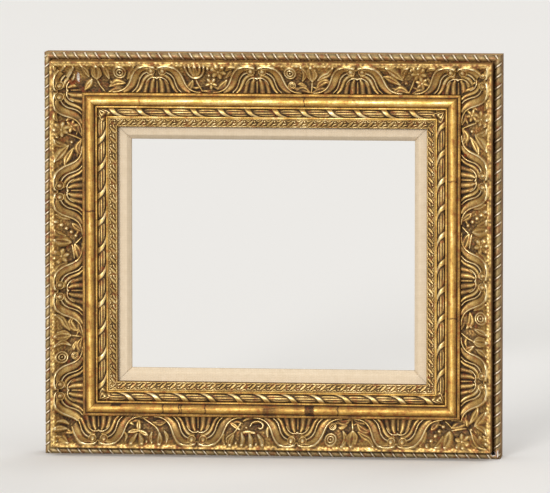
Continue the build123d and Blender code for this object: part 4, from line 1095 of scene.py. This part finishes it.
# %% [markdown]
# A strip is cut at 45 degrees at both ends like a real moulding in a mitre saw. A Boolean could make the
# cuts, but a plane that bisects the mesh is quicker, and only the two open ends are left to close. The
# hollows of one repeat are found with a repeat on each side of it, so that no join shows in the tone.


# %% Laying a strip
def cut_mitres(mesh, half):
    """Cut a strip at 45 degrees at both ends, and close the cuts."""
    work = bmesh.new()
    work.from_mesh(mesh)
    for hand in (1, -1):
        everything = work.verts[:] + work.edges[:] + work.faces[:]
        bmesh.ops.bisect_plane(work, geom=everything, plane_co=(hand * half, 0, 0), plane_no=(hand, -1, 0),
                               clear_outer=True)
    bmesh.ops.holes_fill(work, edges=[e for e in work.edges if e.is_boundary], sides=0)
    bmesh.ops.recalc_face_normals(work, faces=work.faces[:])
    work.to_mesh(mesh)
    work.free()


def repeat_hollow(lift, depth, middle):
    """The hollows of one repeat that has the same repeat on both sides."""
    size = len(lift) - 1
    three = np.concatenate([lift[:-1], lift[:-1], lift], 0)
    return hollow_of(three, 2, depth, middle)[size:2 * size + 1]


def bead_patch(name, start, width, seat, height, pitch, cell, lift_of, depth, middle):
    """One repeat of a half-round bead, whose lift and tone lift_of gives for a place along and across it."""
    s = np.linspace(0, pitch, int(pitch / cell) + 1)[:, None]
    turns = np.linspace(0, math.pi, int(1.25 * (width / 2 + height) / cell) + 2)[None]
    across = (1 - np.cos(turns)) / 2
    out = np.stack([-np.cos(turns) * height, np.sin(turns) * width / 2], -1)
    out /= np.linalg.norm(out, axis=-1)[..., None]
    lift, tone = lift_of(s + 0 * turns, across + 0 * s)
    fade = np.sin(turns) ** 0.5
    d = start + width * across + lift * fade * out[..., 0]
    h = seat + height * np.sin(turns) + lift * fade * out[..., 1]
    # The wash also stayed along both edges of the bead
    edge = 0.35 * (1 - np.sin(turns)) ** 2
    hollow = np.clip(repeat_hollow(lift, depth, middle) + tone + edge, 0, 1)
    return tube_mesh(name, np.stack([s + 0 * d, -d, h], -1), {"hollow": hollow}, "open")


def lay_strip(kind, patch, pitch, material, setback):
    """Lay one motif along all four rails."""
    for side in SIDES:
        count = int(LENGTH[side] / pitch) + 2
        mesh = grow(repeat, patch, {"Pitch": pitch, "Count": count, "Material": material})
        mesh.name = f"{kind}_{side}"
        cut_mitres(mesh, LENGTH[side] / 2 - setback)
        mesh.transform(rail_matrix(side))
        mark_chips(mesh)
        new_piece(f"carved_{kind}_{side}", mesh, material, [f"{kind}_{side}"])
        print(mesh.name, len(mesh.polygons), "faces")


print("strips to lay: 3 kinds on", len(SIDES), "rails")

# %% [markdown]
# The rope edge is a half-round bead. Broad slack strands lie across it on a slant, with a thin tight cord
# standing up between each two. Real strands could be twisted as curves; on a glued strip only their outer
# sides exist, so they are a lift on the bead.

# %% Rope edge
STRAND_PITCH, STRAND_SLANT = 9.65, 5.2
# The strand's share of a repeat, and the rise and tone of strand and cord
STRAND_SHARE = 0.78
STRAND_RISE, CORD_RISE = 0.75, 1.05
STRAND_TONE, CORD_TONE = 0.04, -0.14


def rope_relief(s, across):
    """A broad strand, then a thin cord, wound on a slant."""
    u = ((s - STRAND_SLANT * (across - 0.5)) / STRAND_PITCH) % 1
    wide, thin = STRAND_SHARE / 2, (1 - STRAND_SHARE) / 2
    strand = STRAND_RISE * np.sqrt(np.clip(1 - ((u - wide) / wide) ** 2, 0, 1))
    cord = CORD_RISE * np.sqrt(np.clip(1 - ((u - 1 + thin) / thin) ** 2, 0, 1))
    return np.maximum(strand, cord), np.where(u > STRAND_SHARE, CORD_TONE, STRAND_TONE)


rope_patch = bead_patch("rope", start=0.4, width=ROPE_WIDTH - 2.0, seat=LEDGE_HEIGHT, height=5.4,
                        pitch=STRAND_PITCH, cell=0.42, lift_of=rope_relief, depth=1.1, middle=0.5)
lay_strip("rope", rope_patch, STRAND_PITCH, dusty_gilding, setback=0)

# %% [markdown]
# The ribbon twist is a leafy rod wrapped by a plain ribbon. The ribbon crosses as a smooth raised band that
# leans over more and more towards the inner edge, and between two crossings the rod shows a long leaf with
# three ridges. Like the rope it is a lift on a bead, with the ribbon and the leaf each taking a share of
# the repeat.

# %% Ribbon twist
WRAP_PITCH, RIBBON_SHARE = 25.0, 0.23
# How far the ribbon leans across the rod, and how much further at its inner edge
WRAP_LEAN, WRAP_CURL = 5.4, 6.4
RIBBON_RISE = 1.05
RIBBON_TONE, ROD_LEAF_TONE = 0.02, 0.17
ROD_START, ROD_WIDTH, ROD_HEIGHT = RIBBON_START + 0.1, RIBBON_END - RIBBON_START - 0.2, 3.2
CORNER_LEAF_REACH = 7.0


def ribbon_relief(s, across):
    """A smooth band, then a three-ridged leaf, wound on a slant."""
    u = ((s - WRAP_LEAN * across - WRAP_CURL * across**5) / WRAP_PITCH) % 1
    v = 2 * across - 1
    half = RIBBON_SHARE / 2
    band = RIBBON_RISE * np.clip(1 - (np.abs(u - half) / half) ** 4, 0, 1) ** 0.6
    q = np.clip((u - RIBBON_SHARE) / (1 - RIBBON_SHARE), 0, 1)
    taper = np.sin(math.pi * q) ** 0.45
    leaf = taper * (0.25 + 0.6 * np.cos(1.5 * math.pi * v / 0.85) ** 2) * (np.abs(v) < 0.8 * taper)
    return np.maximum(band, leaf), np.where(u < RIBBON_SHARE, RIBBON_TONE, ROD_LEAF_TONE)


ribbon_patch = bead_patch("ribbon", start=ROD_START, width=ROD_WIDTH, seat=RIBBON_BED, height=ROD_HEIGHT,
                          pitch=WRAP_PITCH, cell=0.4, lift_of=ribbon_relief, depth=1.0, middle=0.48)
lay_strip("ribbon", ribbon_patch, WRAP_PITCH, matt_gilding, setback=CORNER_LEAF_REACH)

# %% [markdown]
# At each corner of the ribbon a small leaf covers the place where two runs meet. It could be one shape bent
# round the corner, but each half is simply a short length of bead that swells towards the mitre. Its ribs
# meet along the middle like the veins of a leaf.

# %% Corner leaves
LEAF_ROWS, LEAF_COLUMNS = 15, 23


def corner_leaf(side, hand):
    """Points and hollows of the half leaf at one end of a rail, in order along the rail."""
    t = np.linspace(0, 1, LEAF_ROWS)[:, None]
    turns = np.linspace(0, math.pi, LEAF_COLUMNS)[None]
    across = (1 - np.cos(turns)) / 2
    swell = 0.5 + 1.5 * np.sqrt(t) * np.sin(turns)
    ribs = 0.5 * np.cos(2 * math.pi * (1.7 * t - 2.6 * np.abs(across - 0.5))) * np.sin(turns)
    d = ROD_START + ROD_WIDTH * across + 0 * t
    h = RIBBON_BED + (ROD_HEIGHT + swell + ribs) * np.sin(turns)
    reach = CORNER_LEAF_REACH * (1 - t) * (0.75 + 0.35 * np.sin(turns))
    s = hand * (LENGTH[side] / 2 - d - reach)
    hollow = np.clip(0.52 - 0.8 * ribs + 0.3 * (1 - np.sin(turns)), 0, 1)
    return np.stack([s, -d, h], -1)[::hand], hollow[::hand]


points, faces, hollows = [], [], []
for side in SIDES:
    matrix = rail_matrix(side)
    for hand in (-1, 1):
        grid, hollow = corner_leaf(side, hand)
        index = np.arange(LEAF_ROWS * LEAF_COLUMNS).reshape(LEAF_ROWS, LEAF_COLUMNS) + len(points)
        faces += tube_faces(index, "capped")
        points += [matrix @ Vector(p) for p in grid.reshape(-1, 3)]
        hollows += hollow.ravel().tolist()
mesh = bpy.data.meshes.new("ribbon_corner_leaves")
mesh.from_pydata(points, [], faces)
mark_points(mesh, "hollow", hollows)
mesh.polygons.foreach_set("use_smooth", np.ones(len(mesh.polygons), bool))
new_piece("carved_corner_leaves", mesh, matt_gilding, ["ribbon_corner_leaves"])
print(mesh.name, len(mesh.polygons), "faces")

# %% [markdown]
# The lip carries a narrow band of small slanted leaves and curls. It is too flat for a bead, so it is drawn
# with the carver's strokes again, on one repeat of a sloping strip. The strokes of the next repeats are
# drawn too, so that they run on across the joins.

# %% Leaf band
LEAF_PITCH, LEAF_CELL = 9.2, 0.36
# How thick the strip is under its leaves
LEAF_PAD = 0.5
LEAF_STROKES = (
    ([(0.4, 7, 0.3), (3, 4.6, 1.35), (6.4, 1.7, 0.3)], 1.5, "leaf"),
    ([(4.6, 7, 0.3), (6.2, 5.4, 0.8), (8.6, 4.6, 0.4)], 1.2, "round"),
    ([(0.2, 1.5, 0.3), (2, 2.3, 0.7), (4, 1.4, 0.3)], 1.0, "round"),
    ([(-4.6, 7.5, 0.5), (0, 7.3, 0.5), (4.6, 7.5, 0.5)], 0.9, "round"),
    ([(-4.6, 0.7, 0.4), (0, 0.6, 0.4), (4.6, 0.7, 0.4)], 0.8, "round"),
)
# A bead between two leaves, as s, d, radius and rise
LEAF_BEAD = (7.6, 2.6, 1.0, 1.3)


def leaf_patch():
    """One repeat of the leaf band on its slope."""
    s = np.linspace(0, LEAF_PITCH, int(LEAF_PITCH / LEAF_CELL) + 1)[:, None]
    width = MOULDING_WIDTH - LEAF_START - 0.1
    across = np.linspace(0, width, int(width / LEAF_CELL))[None]
    still = np.zeros((s.size, across.size))
    relief = {"s": s + still, "d": across + still, "lift": still.copy(), "tone": still.copy()}
    for shift in (-LEAF_PITCH, 0, LEAF_PITCH):
        for stations, rise, form in LEAF_STROKES:
            carve(relief, [(p + shift, q, w) for p, q, w in stations], rise, form)
        ball(relief, LEAF_BEAD[0] + shift, *LEAF_BEAD[1:])
    lift = relief["lift"]
    lift[-1] = lift[0]
    fall = (LEAF_BED - LIP_HEIGHT) / (MOULDING_WIDTH - LEAF_START)
    d = LEAF_START + 0.1 + across + 0 * s
    seat = LEAF_BED - fall * (d - LEAF_START)
    front = np.stack([s + 0 * d, -d, seat + LEAF_PAD + lift], -1)
    back = [np.stack([s, -d[:, [k]], seat[:, [k]]], -1) for k in (-1, 0)]
    hollow = np.concatenate([repeat_hollow(lift, 1.9, 0.55), np.full((s.size, 2), 0.8)], 1)
    return tube_mesh("leaf_band", np.concatenate([front, *back], 1), {"hollow": hollow}, "open")


lay_strip("leaf_band", leaf_patch(), LEAF_PITCH, matt_gilding, setback=0)

# %% [markdown]
# The liner's face is covered with undyed linen. Real threads would take millions of faces, so the weave is
# two wave patterns that cross, with uneven thicker threads, or slubs, as noise. The threads are drawn about
# three times coarser than real ones so that they can be seen.

# %% Linen cloth
LINEN_STOPS = [(0.2, "d0bda0"), (0.5, "dac7ab"), (0.8, "e1d1b8")]
THREAD_PITCH, THREAD_DEPTH = 1.5, 0.2
# The size of a slub, and its share in the tone
SLUB_SIZE, SLUB_SHARE = 5.5556, 0.65
# At scale 1 a wave texture repeats every pi / 10 metres, so this makes one wave to a thread
thread_scale = math.pi / 10 / (THREAD_PITCH * MM)
# Undyed linen: pale, dry and soft, with a fine grid that shades itself when light falls along it
linen, tree, shader = new_material("undyed_linen")
spot = put(tree, "ShaderNodeTexCoord").outputs["Object"]
warp, weft = (put(tree, "ShaderNodeTexWave", {"bands_direction": direction}, {
    "Vector": spot, "Scale": thread_scale, "Distortion": 1.2, "Detail": 2.0, "Detail Scale": 1.5})
    for direction in ("X", "Z"))
weave = put(tree, "ShaderNodeMath", {"operation": "MULTIPLY"}, {0: warp.outputs[1], 1: weft.outputs[1]})
slub = put(tree, "ShaderNodeTexNoise", inputs={"Vector": spot, "Scale": 1 / (SLUB_SIZE * MM), "Detail": 4.0})
tone = put(tree, "ShaderNodeMix", inputs={0: SLUB_SHARE, 2: weave.outputs[0], 3: slub.outputs[0]})
colour = put(tree, "ShaderNodeValToRGB", {"stops": LINEN_STOPS}, {0: tone.outputs[0]})
bump = put(tree, "ShaderNodeBump",
           inputs={"Height": weave.outputs[0], "Strength": 0.4, "Distance": THREAD_DEPTH * MM})
tree.links.new(colour.outputs[0], shader.inputs["Base Color"])
tree.links.new(bump.outputs[0], shader.inputs["Normal"])
shader.inputs["Roughness"].default_value = 0.85
print("cloth:", linen.name)

# %% [markdown]
# The linen is glued down, folded over the bevel and turned round the sight edge. Each side is its own strip
# with mitred ends. Cloth physics could drape it, but glued cloth has no drape, so each strip is a thin
# sheet that follows its liner rail, and its flat size is measured along the line that touches the wood.

# %% Linen strips
LINEN_THICKNESS, LINEN_CELL = 0.5, 1.5
# The liner's face, bevel and sight edge, as (d, h) with the rounding of each fold
LINEN_FOLDS = [(61.4, 21.9, 0), (75.2, 21.9, 1.0), (79.0, SIGHT_EDGE_HEIGHT, 0.6), (79.0, 16.0, 0)]


def linen_path(offset):
    """The cloth's line across the liner, on its back or on its face."""
    folds = np.array([f[:2] for f in LINEN_FOLDS])
    runs = folds[1:] - folds[:-1]
    outs = np.stack([-runs[:, 1], runs[:, 0]], -1) / np.linalg.norm(runs, axis=1)[:, None]
    turned = (outs[:-1] + outs[1:]) / (1 + (outs[:-1] * outs[1:]).sum(1))[:, None]
    moved = folds + offset * np.vstack([outs[0], turned, outs[-1]])
    path = []
    for k, spot in enumerate(moved):
        rounding = LINEN_FOLDS[k][2]
        path += [spot] if rounding == 0 else round_corner(
            moved[k - 1], spot, moved[k + 1], rounding, (0, 0.25, 0.5, 0.75, 1))
    steps = []
    for a, b in zip(path[:-1], path[1:]):
        count = max(1, int(np.linalg.norm(b - a) / LINEN_CELL))
        steps += [a + (b - a) * i / count for i in range(count)]
    return np.array(steps + [path[-1]])


def linen_strip(side):
    """A strip of linen over one liner rail, with its flat width, length and area in metres."""
    half = LENGTH[side] / 2
    face, behind = linen_path(LINEN_THICKNESS), linen_path(0.0)
    section = np.vstack([face, behind[::-1]])
    stations = np.linspace(-1, 1, int(half / LINEN_CELL))[:, None]
    d, h = (np.tile(section[:, k], (len(stations), 1)) for k in range(2))
    s = stations * (half - d)
    mesh = tube_mesh(f"linen_{side}", np.stack([s, -d, h], -1), {}, "capped")
    mesh.transform(rail_matrix(side))
    runs = np.linalg.norm(behind[1:] - behind[:-1], axis=1)
    spans = 2 * (half - behind[:, 0])
    width, length = runs.sum() * MM, spans.max() * MM
    return mesh, width, length, (runs * (spans[1:] + spans[:-1]) / 2).sum() * MM**2


for side in SIDES:
    mesh, width, length, area = linen_strip(side)
    piece = new_piece(f"linen_cover_{side}", mesh, linen, [f"linen_{side}"])
    print(f"linen {side}: {width / MM:.1f} by {length / MM:.1f} mm flat")

# %% [markdown]
# The rest is hidden from the front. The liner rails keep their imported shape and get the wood's finish. The
# corner keys are thin triangles of wood let into the outer corners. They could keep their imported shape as
# well, but old keys stand a hair proud of the sides, so they are drawn a little larger.

# %% Liner and keys
for side in SIDES:
    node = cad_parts[f"liner_{side}"]
    node.data.materials.clear()
    node.data.materials.append(bare_wood[GRAIN_OF[side]])

KEY_LEG, KEY_LOW, KEY_HIGH, KEY_PROUD = 26.0, 9.0, 12.0, 0.12
# Two triangles, and the three sides between them
KEY_FACES = ((2, 1, 0), (3, 4, 5), (0, 1, 4, 3), (1, 2, 5, 4), (2, 0, 3, 5))
points, faces = [], []
for side in SIDES:
    half = LENGTH[side] / 2 + KEY_PROUD
    faces += [[len(points) + i for i in face] for face in KEY_FACES]
    for h in (KEY_LOW, KEY_HIGH):
        for s, outward in ((half, KEY_PROUD), (half - KEY_LEG, KEY_PROUD), (half, -KEY_LEG)):
            points.append(rail_matrix(side) @ Vector((s, outward, h)))
mesh = bpy.data.meshes.new("mitre_keys")
mesh.from_pydata(points, [], faces)
new_piece("corner_keys", mesh, bare_wood["level"], ["mitre_keys"])
print(f"keys stand {KEY_PROUD} mm proud")

# %% [markdown]
# The fittings are plated steel. New plate would be a plain mirror. Age dulls it and freckles it with rust,
# so one noise drives both its colour and its roughness, and the rust is rough where it is brown.

# %% Steel
STEEL_STOPS = [(0.35, "a9a59c"), (0.6, "86827a"), (0.72, "6d4a31")]
FRECKLE_SIZE = 3.3333
# Plated steel: a grey metal sheen that breaks up into matt spots
steel, tree, shader = new_material("dulled_plated_steel")
spot = put(tree, "ShaderNodeTexCoord").outputs["Object"]
cloud = put(tree, "ShaderNodeTexNoise",
            inputs={"Vector": spot, "Scale": 1 / (FRECKLE_SIZE * MM), "Detail": 6.0}).outputs[0]
colour = put(tree, "ShaderNodeValToRGB", {"stops": STEEL_STOPS}, {0: cloud})
dull = put(tree, "ShaderNodeMapRange", inputs={0: cloud, 1: 0.35, 2: 0.7, 3: 0.35, 4: 0.7})
tree.links.new(colour.outputs[0], shader.inputs["Base Color"])
tree.links.new(dull.outputs[0], shader.inputs["Roughness"])
shader.inputs["Metallic"].default_value = 0.9
for name in ("liner_nails", "liner_brads"):
    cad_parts[name].data.materials.clear()
    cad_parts[name].data.materials.append(steel)
print("fittings:", steel.name)

# %% [markdown]
# A turn button is a small flat lever, round at both ends, that swings over the picture's back. It could be
# a cube with a Bevel modifier; drawing its outline round two circles gives the tapered shape, and two inset
# rings soften its edges.

# %% Turn buttons
# The pivots lie this far outside the rabbet's wall, and this far above and below the middle
BUTTON_SETBACK = 4.6
BUTTON_RISE = {"upper": 92.0, "lower": -92.0}
BUTTON_X = OUTER_WIDTH / 2 - (RABBET_WALL - BUTTON_SETBACK)
BUTTON_REACH, BUTTON_HEAD, BUTTON_TIP = 26.0, 4.5, 3.0
BUTTON_GAP, BUTTON_THICKNESS, BUTTON_SOFT = 0.3, 1.2, 0.25
HANDS = ((-1, "left"), (1, "right"))


def plate(outline, back, thickness, soft):
    """Points and faces of a flat plate with soft edges. Its outline runs anticlockwise, seen from behind."""
    outline = np.array(outline)
    step = np.roll(outline, -1, 0) - np.roll(outline, 1, 0)
    inward = np.stack([-step[:, 1], step[:, 0]], -1) / np.linalg.norm(step, axis=1)[:, None]
    size = len(outline)
    rings = []
    for inset, rise in ((soft, 0), (0, soft), (0, thickness - soft), (soft, thickness)):
        x, z = (outline + inset * inward).T
        rings.append(np.stack([-x, np.full(size, back + rise), z], -1))
    return np.vstack(rings), tube_faces(np.arange(4 * size).reshape(4, size), "capped")


def hull_outline(ends, count=16):
    """The outline round two circles of (x, z, radius), the second straight below the first."""
    (x1, z1, r1), (x2, z2, r2) = ends
    lean = math.asin((r1 - r2) / (z1 - z2))
    upper = np.linspace(-lean, math.pi + lean, count)
    lower = np.linspace(math.pi + lean, 2 * math.pi - lean, count)
    return [(x1 + r1 * math.cos(t), z1 + r1 * math.sin(t)) for t in upper] + [
        (x2 + r2 * math.cos(t), z2 + r2 * math.sin(t)) for t in lower]


for hand, side in HANDS:
    for level, rise in BUTTON_RISE.items():
        x, top = -hand * BUTTON_X, OUTER_HEIGHT / 2 + rise
        outline = hull_outline(((x, top, BUTTON_HEAD), (x, top - BUTTON_REACH + BUTTON_TIP, BUTTON_TIP)))
        points, faces = plate(outline, BACK + BUTTON_GAP, BUTTON_THICKNESS, BUTTON_SOFT)
        name = f"button_{side}_{level}"
        mesh = bpy.data.meshes.new(name)
        mesh.from_pydata(points * MM, [], faces)
        new_piece(f"steel_{name}", mesh, steel, [f"turn_{name}"], name)
print("turn buttons:", len(HANDS) * len(BUTTON_RISE))

# %% [markdown]
# A strap hanger is one strip of steel. It lies flat on the wood, and its inner end is rolled round the
# ring's wire. A curve with a bevel could make it. As a path of points with a thin section it can also
# narrow over its last few millimetres, which rounds its corners.

# %% Strap hangers
STRAP_LEVEL = OUTER_HEIGHT / 2 + 50.0
STRAP_OUTER, STRAP_INNER, STRAP_HALF, STRAP_CORNER = 12.0, 42.0, 5.0, 4.0
STRAP_STRAIGHT, STRAP_THICKNESS = 24.0, 1.1
EYE_HEIGHT, EYE_RADIUS = 2.5, 1.95
# The section as shares of half the width and half the thickness, with its edges taken off
STRAP_SECTION = ((-1, -0.6), (-0.96, -1), (0.96, -1), (1, -0.6), (1, 0.6), (0.96, 1), (-0.96, 1), (-1, 0.6))


def facing_out(mesh):
    """Turn all faces of a closed mesh outward."""
    work = bmesh.new()
    work.from_mesh(mesh)
    bmesh.ops.recalc_face_normals(work, faces=work.faces[:])
    work.to_mesh(mesh)
    work.free()


# The path as (u, y) from the eye's middle, and the direction through the strip: the flat part, then the roll
flat = STRAP_INNER - STRAP_OUTER
rounded = flat - STRAP_CORNER * (1 - np.cos(np.linspace(math.pi / 2, 0.15, 7)))
straight = np.linspace(STRAP_STRAIGHT, 0, 9)
runs = sorted([*rounded, *straight], reverse=True)
path = [(u, EYE_HEIGHT - EYE_RADIUS, 0.0, 1.0) for u in runs]
for a in np.linspace(0.25, 5.6, 22):
    path.append((-EYE_RADIUS * math.sin(a), EYE_HEIGHT - EYE_RADIUS * math.cos(a), math.sin(a), math.cos(a)))
for hand, side in HANDS:
    rows = []
    for u, y, out_u, out_y in path:
        past = max(0.0, u - (flat - STRAP_CORNER))
        wide = STRAP_HALF - STRAP_CORNER + math.sqrt(max(STRAP_CORNER**2 - past**2, 0.05))
        row = []
        for across, share in STRAP_SECTION:
            through = share * STRAP_THICKNESS / 2
            x = OUTER_WIDTH / 2 - STRAP_INNER + u + out_u * through
            row.append((hand * x, BACK + y + out_y * through, STRAP_LEVEL + wide * across))
        rows.append(row)
    mesh = tube_mesh(f"strap_{side}", np.array(rows) * MM, {}, "capped")
    facing_out(mesh)
    mesh.polygons.foreach_set("use_smooth", np.zeros(len(mesh.polygons), bool))
    new_piece(f"steel_strap_{side}", mesh, steel, [f"strap_hanger_{side}"])
print("points along a strap:", len(path))

# %% [markdown]
# Each ring is a bent wire with a straight side, which turns in the rolled eye. A curve object could carry
# it, but it would have to be turned into a mesh. Here its corners are cut three times over, which turns a
# few corner points into a smooth bend, and a round section is swept along it.

# %% Hanging rings
WIRE_RADIUS = 1.1
# Corners of one half, as the height above the ring's middle and the distance from its straight side
HALF_RING = [(5.2, 0), (5.7, 0), (7.5, 1.8), (7.5, 6), (5.8, 9.3), (2.5, 11)]
corners = np.array(HALF_RING + [(-z, u) for z, u in HALF_RING[::-1]], float)
for _ in range(3):
    after = np.roll(corners, -1, 0)
    corners = np.stack([0.75 * corners + 0.25 * after, 0.25 * corners + 0.75 * after], 1).reshape(-1, 2)
step = np.roll(corners, -1, 0) - np.roll(corners, 1, 0)
side_way = np.stack([-step[:, 1], step[:, 0]], -1) / np.linalg.norm(step, axis=1)[:, None]
turns = np.linspace(0, 2 * math.pi, 12, endpoint=False)
flat_way = corners[:, None] + WIRE_RADIUS * np.cos(turns)[None, :, None] * side_way[:, None]
for hand, side in HANDS:
    x = hand * (OUTER_WIDTH / 2 - STRAP_INNER - flat_way[..., 1])
    y = BACK + EYE_HEIGHT + WIRE_RADIUS * np.sin(turns)[None] + 0 * x
    z = STRAP_LEVEL + flat_way[..., 0]
    mesh = tube_mesh(f"ring_{side}", np.stack([x, y, z], -1) * MM, {}, "joined")
    facing_out(mesh)
    new_piece(f"steel_ring_{side}", mesh, steel, [f"hanging_ring_{side}"], f"ring_{side}")
print("points along a ring:", len(corners))

# %% [markdown]
# The screws are all alike: a low round head with a slot, on a plain shank, because the thread is hidden in
# the wood. A Boolean could cut the slot. A head drawn as rows of points across the slot gets its walls
# without one.

# %% One screw
HEAD_RADIUS, HEAD_HEIGHT, SLOT_HALF, SLOT_FLOOR = 3.0, 1.6, 0.4, 0.8
# Rows of points across half the head: both edges of the slot's wall, then out to the rim
HEAD_ROWS = (SLOT_HALF, SLOT_HALF + 0.01, 1, 1.7, 2.4, 2.85, HEAD_RADIUS)
SHANK_RADIUS, SHANK_LENGTH = 1.3, 10.0


def screw_mesh():
    """A slotted round head that stands up along Y, on a short shank."""
    across = np.array([-x for x in HEAD_ROWS[::-1]] + list(HEAD_ROWS))
    share = np.linspace(-1, 1, 11)
    x = across[:, None] + 0 * share[None]
    z = np.sqrt(np.maximum(HEAD_RADIUS**2 - x**2, 0)) * np.sin(math.pi / 2 * share)[None]
    y = HEAD_HEIGHT * np.maximum(1 - (x**2 + z**2) / (HEAD_RADIUS + 0.01) ** 2, 0) ** 0.4
    y = np.where(np.abs(x) <= SLOT_HALF, np.minimum(y, SLOT_FLOOR), y)
    work = bmesh.new()
    dots = [[work.verts.new(p) for p in zip(*row)] for row in zip(x, y, z)]
    for r in range(len(across) - 1):
        for c in range(len(share) - 1):
            work.faces.new((dots[r][c], dots[r][c + 1], dots[r + 1][c + 1], dots[r + 1][c]))
    bmesh.ops.remove_doubles(work, verts=work.verts[:], dist=0.001)
    bmesh.ops.holes_fill(work, edges=[e for e in work.edges if e.is_boundary], sides=0)
    shank = Matrix.Translation((0, -SHANK_LENGTH / 2, 0)) @ Matrix.Rotation(math.pi / 2, 4, "X")
    bmesh.ops.create_cone(work, cap_ends=True, segments=12, radius1=SHANK_RADIUS, radius2=SHANK_RADIUS,
                          depth=SHANK_LENGTH, matrix=shank)
    bmesh.ops.recalc_face_normals(work, faces=work.faces[:])
    mesh = bpy.data.meshes.new("screw")
    work.to_mesh(mesh)
    work.free()
    mesh.transform(Matrix.Scale(MM, 4))
    return mesh


screw = bpy.data.objects.new("screw", screw_mesh())
bpy.context.scene.collection.objects.link(screw)
print("faces of a screw:", len(screw.data.polygons))

# %% [markdown]
# Eight screws hold the buttons and the hangers. Copies placed by hand would do. A Geometry Nodes tree puts
# the screw on each place and gives it its own turn, because no two slots on a real frame line up.

# %% Screws on their places
# How far above the wood the heads sit, and where the hangers' screws lie across the moulding
BUTTON_SCREW_SEAT, HANGER_SCREW_SEAT = 1.8, 1.2
HANGER_SCREW_PLACES = (18.0, 32.0)


def screw_tree():
    """A tree that puts a screw on every point: inputs Screw, Seed and Material."""
    tree, given = new_tree("screws_on_points", {
        "Geometry": "Geometry", "Screw": "Object", "Seed": "Int", "Material": "Material"})
    screw = put(tree, "GeometryNodeObjectInfo", inputs={"Object": given["Screw"]})
    spin = put(tree, "FunctionNodeRandomValue", {"data_type": "FLOAT_VECTOR"},
               {0: (0, -math.pi, 0), 1: (0, math.pi, 0), "Seed": given["Seed"]})
    copies = put(tree, "GeometryNodeInstanceOnPoints", inputs={
        "Points": given["Geometry"], "Instance": screw.outputs["Geometry"], "Rotation": spin.outputs[0]})
    real = put(tree, "GeometryNodeRealizeInstances", inputs={"Geometry": copies.outputs[0]})
    done = put(tree, "GeometryNodeSetMaterial",
               inputs={"Geometry": real.outputs[0], "Material": given["Material"]})
    put(tree, "NodeGroupOutput", inputs={"Geometry": done.outputs[0]})
    return tree


tree = screw_tree()
SCREW_PLACES = {"turn_button_screws": [], "hanger_screws": []}
for hand, _ in HANDS:
    for rise in BUTTON_RISE.values():
        place = (hand * BUTTON_X, BACK + BUTTON_SCREW_SEAT, OUTER_HEIGHT / 2 + rise)
        SCREW_PLACES["turn_button_screws"].append(place)
    for d in HANGER_SCREW_PLACES:
        place = (hand * (OUTER_WIDTH / 2 - d), BACK + HANGER_SCREW_SEAT, STRAP_LEVEL)
        SCREW_PLACES["hanger_screws"].append(place)
for seed, (node, places) in enumerate(SCREW_PLACES.items()):
    dots = bpy.data.meshes.new(node)
    dots.from_pydata(np.array(places) * MM, [], [])
    mesh = grow(tree, dots, {"Screw": screw, "Seed": seed, "Material": steel})
    new_piece(f"steel_{node}", mesh, steel, [node])
    print(node, len(mesh.polygons), "faces")
bpy.data.objects.remove(screw)
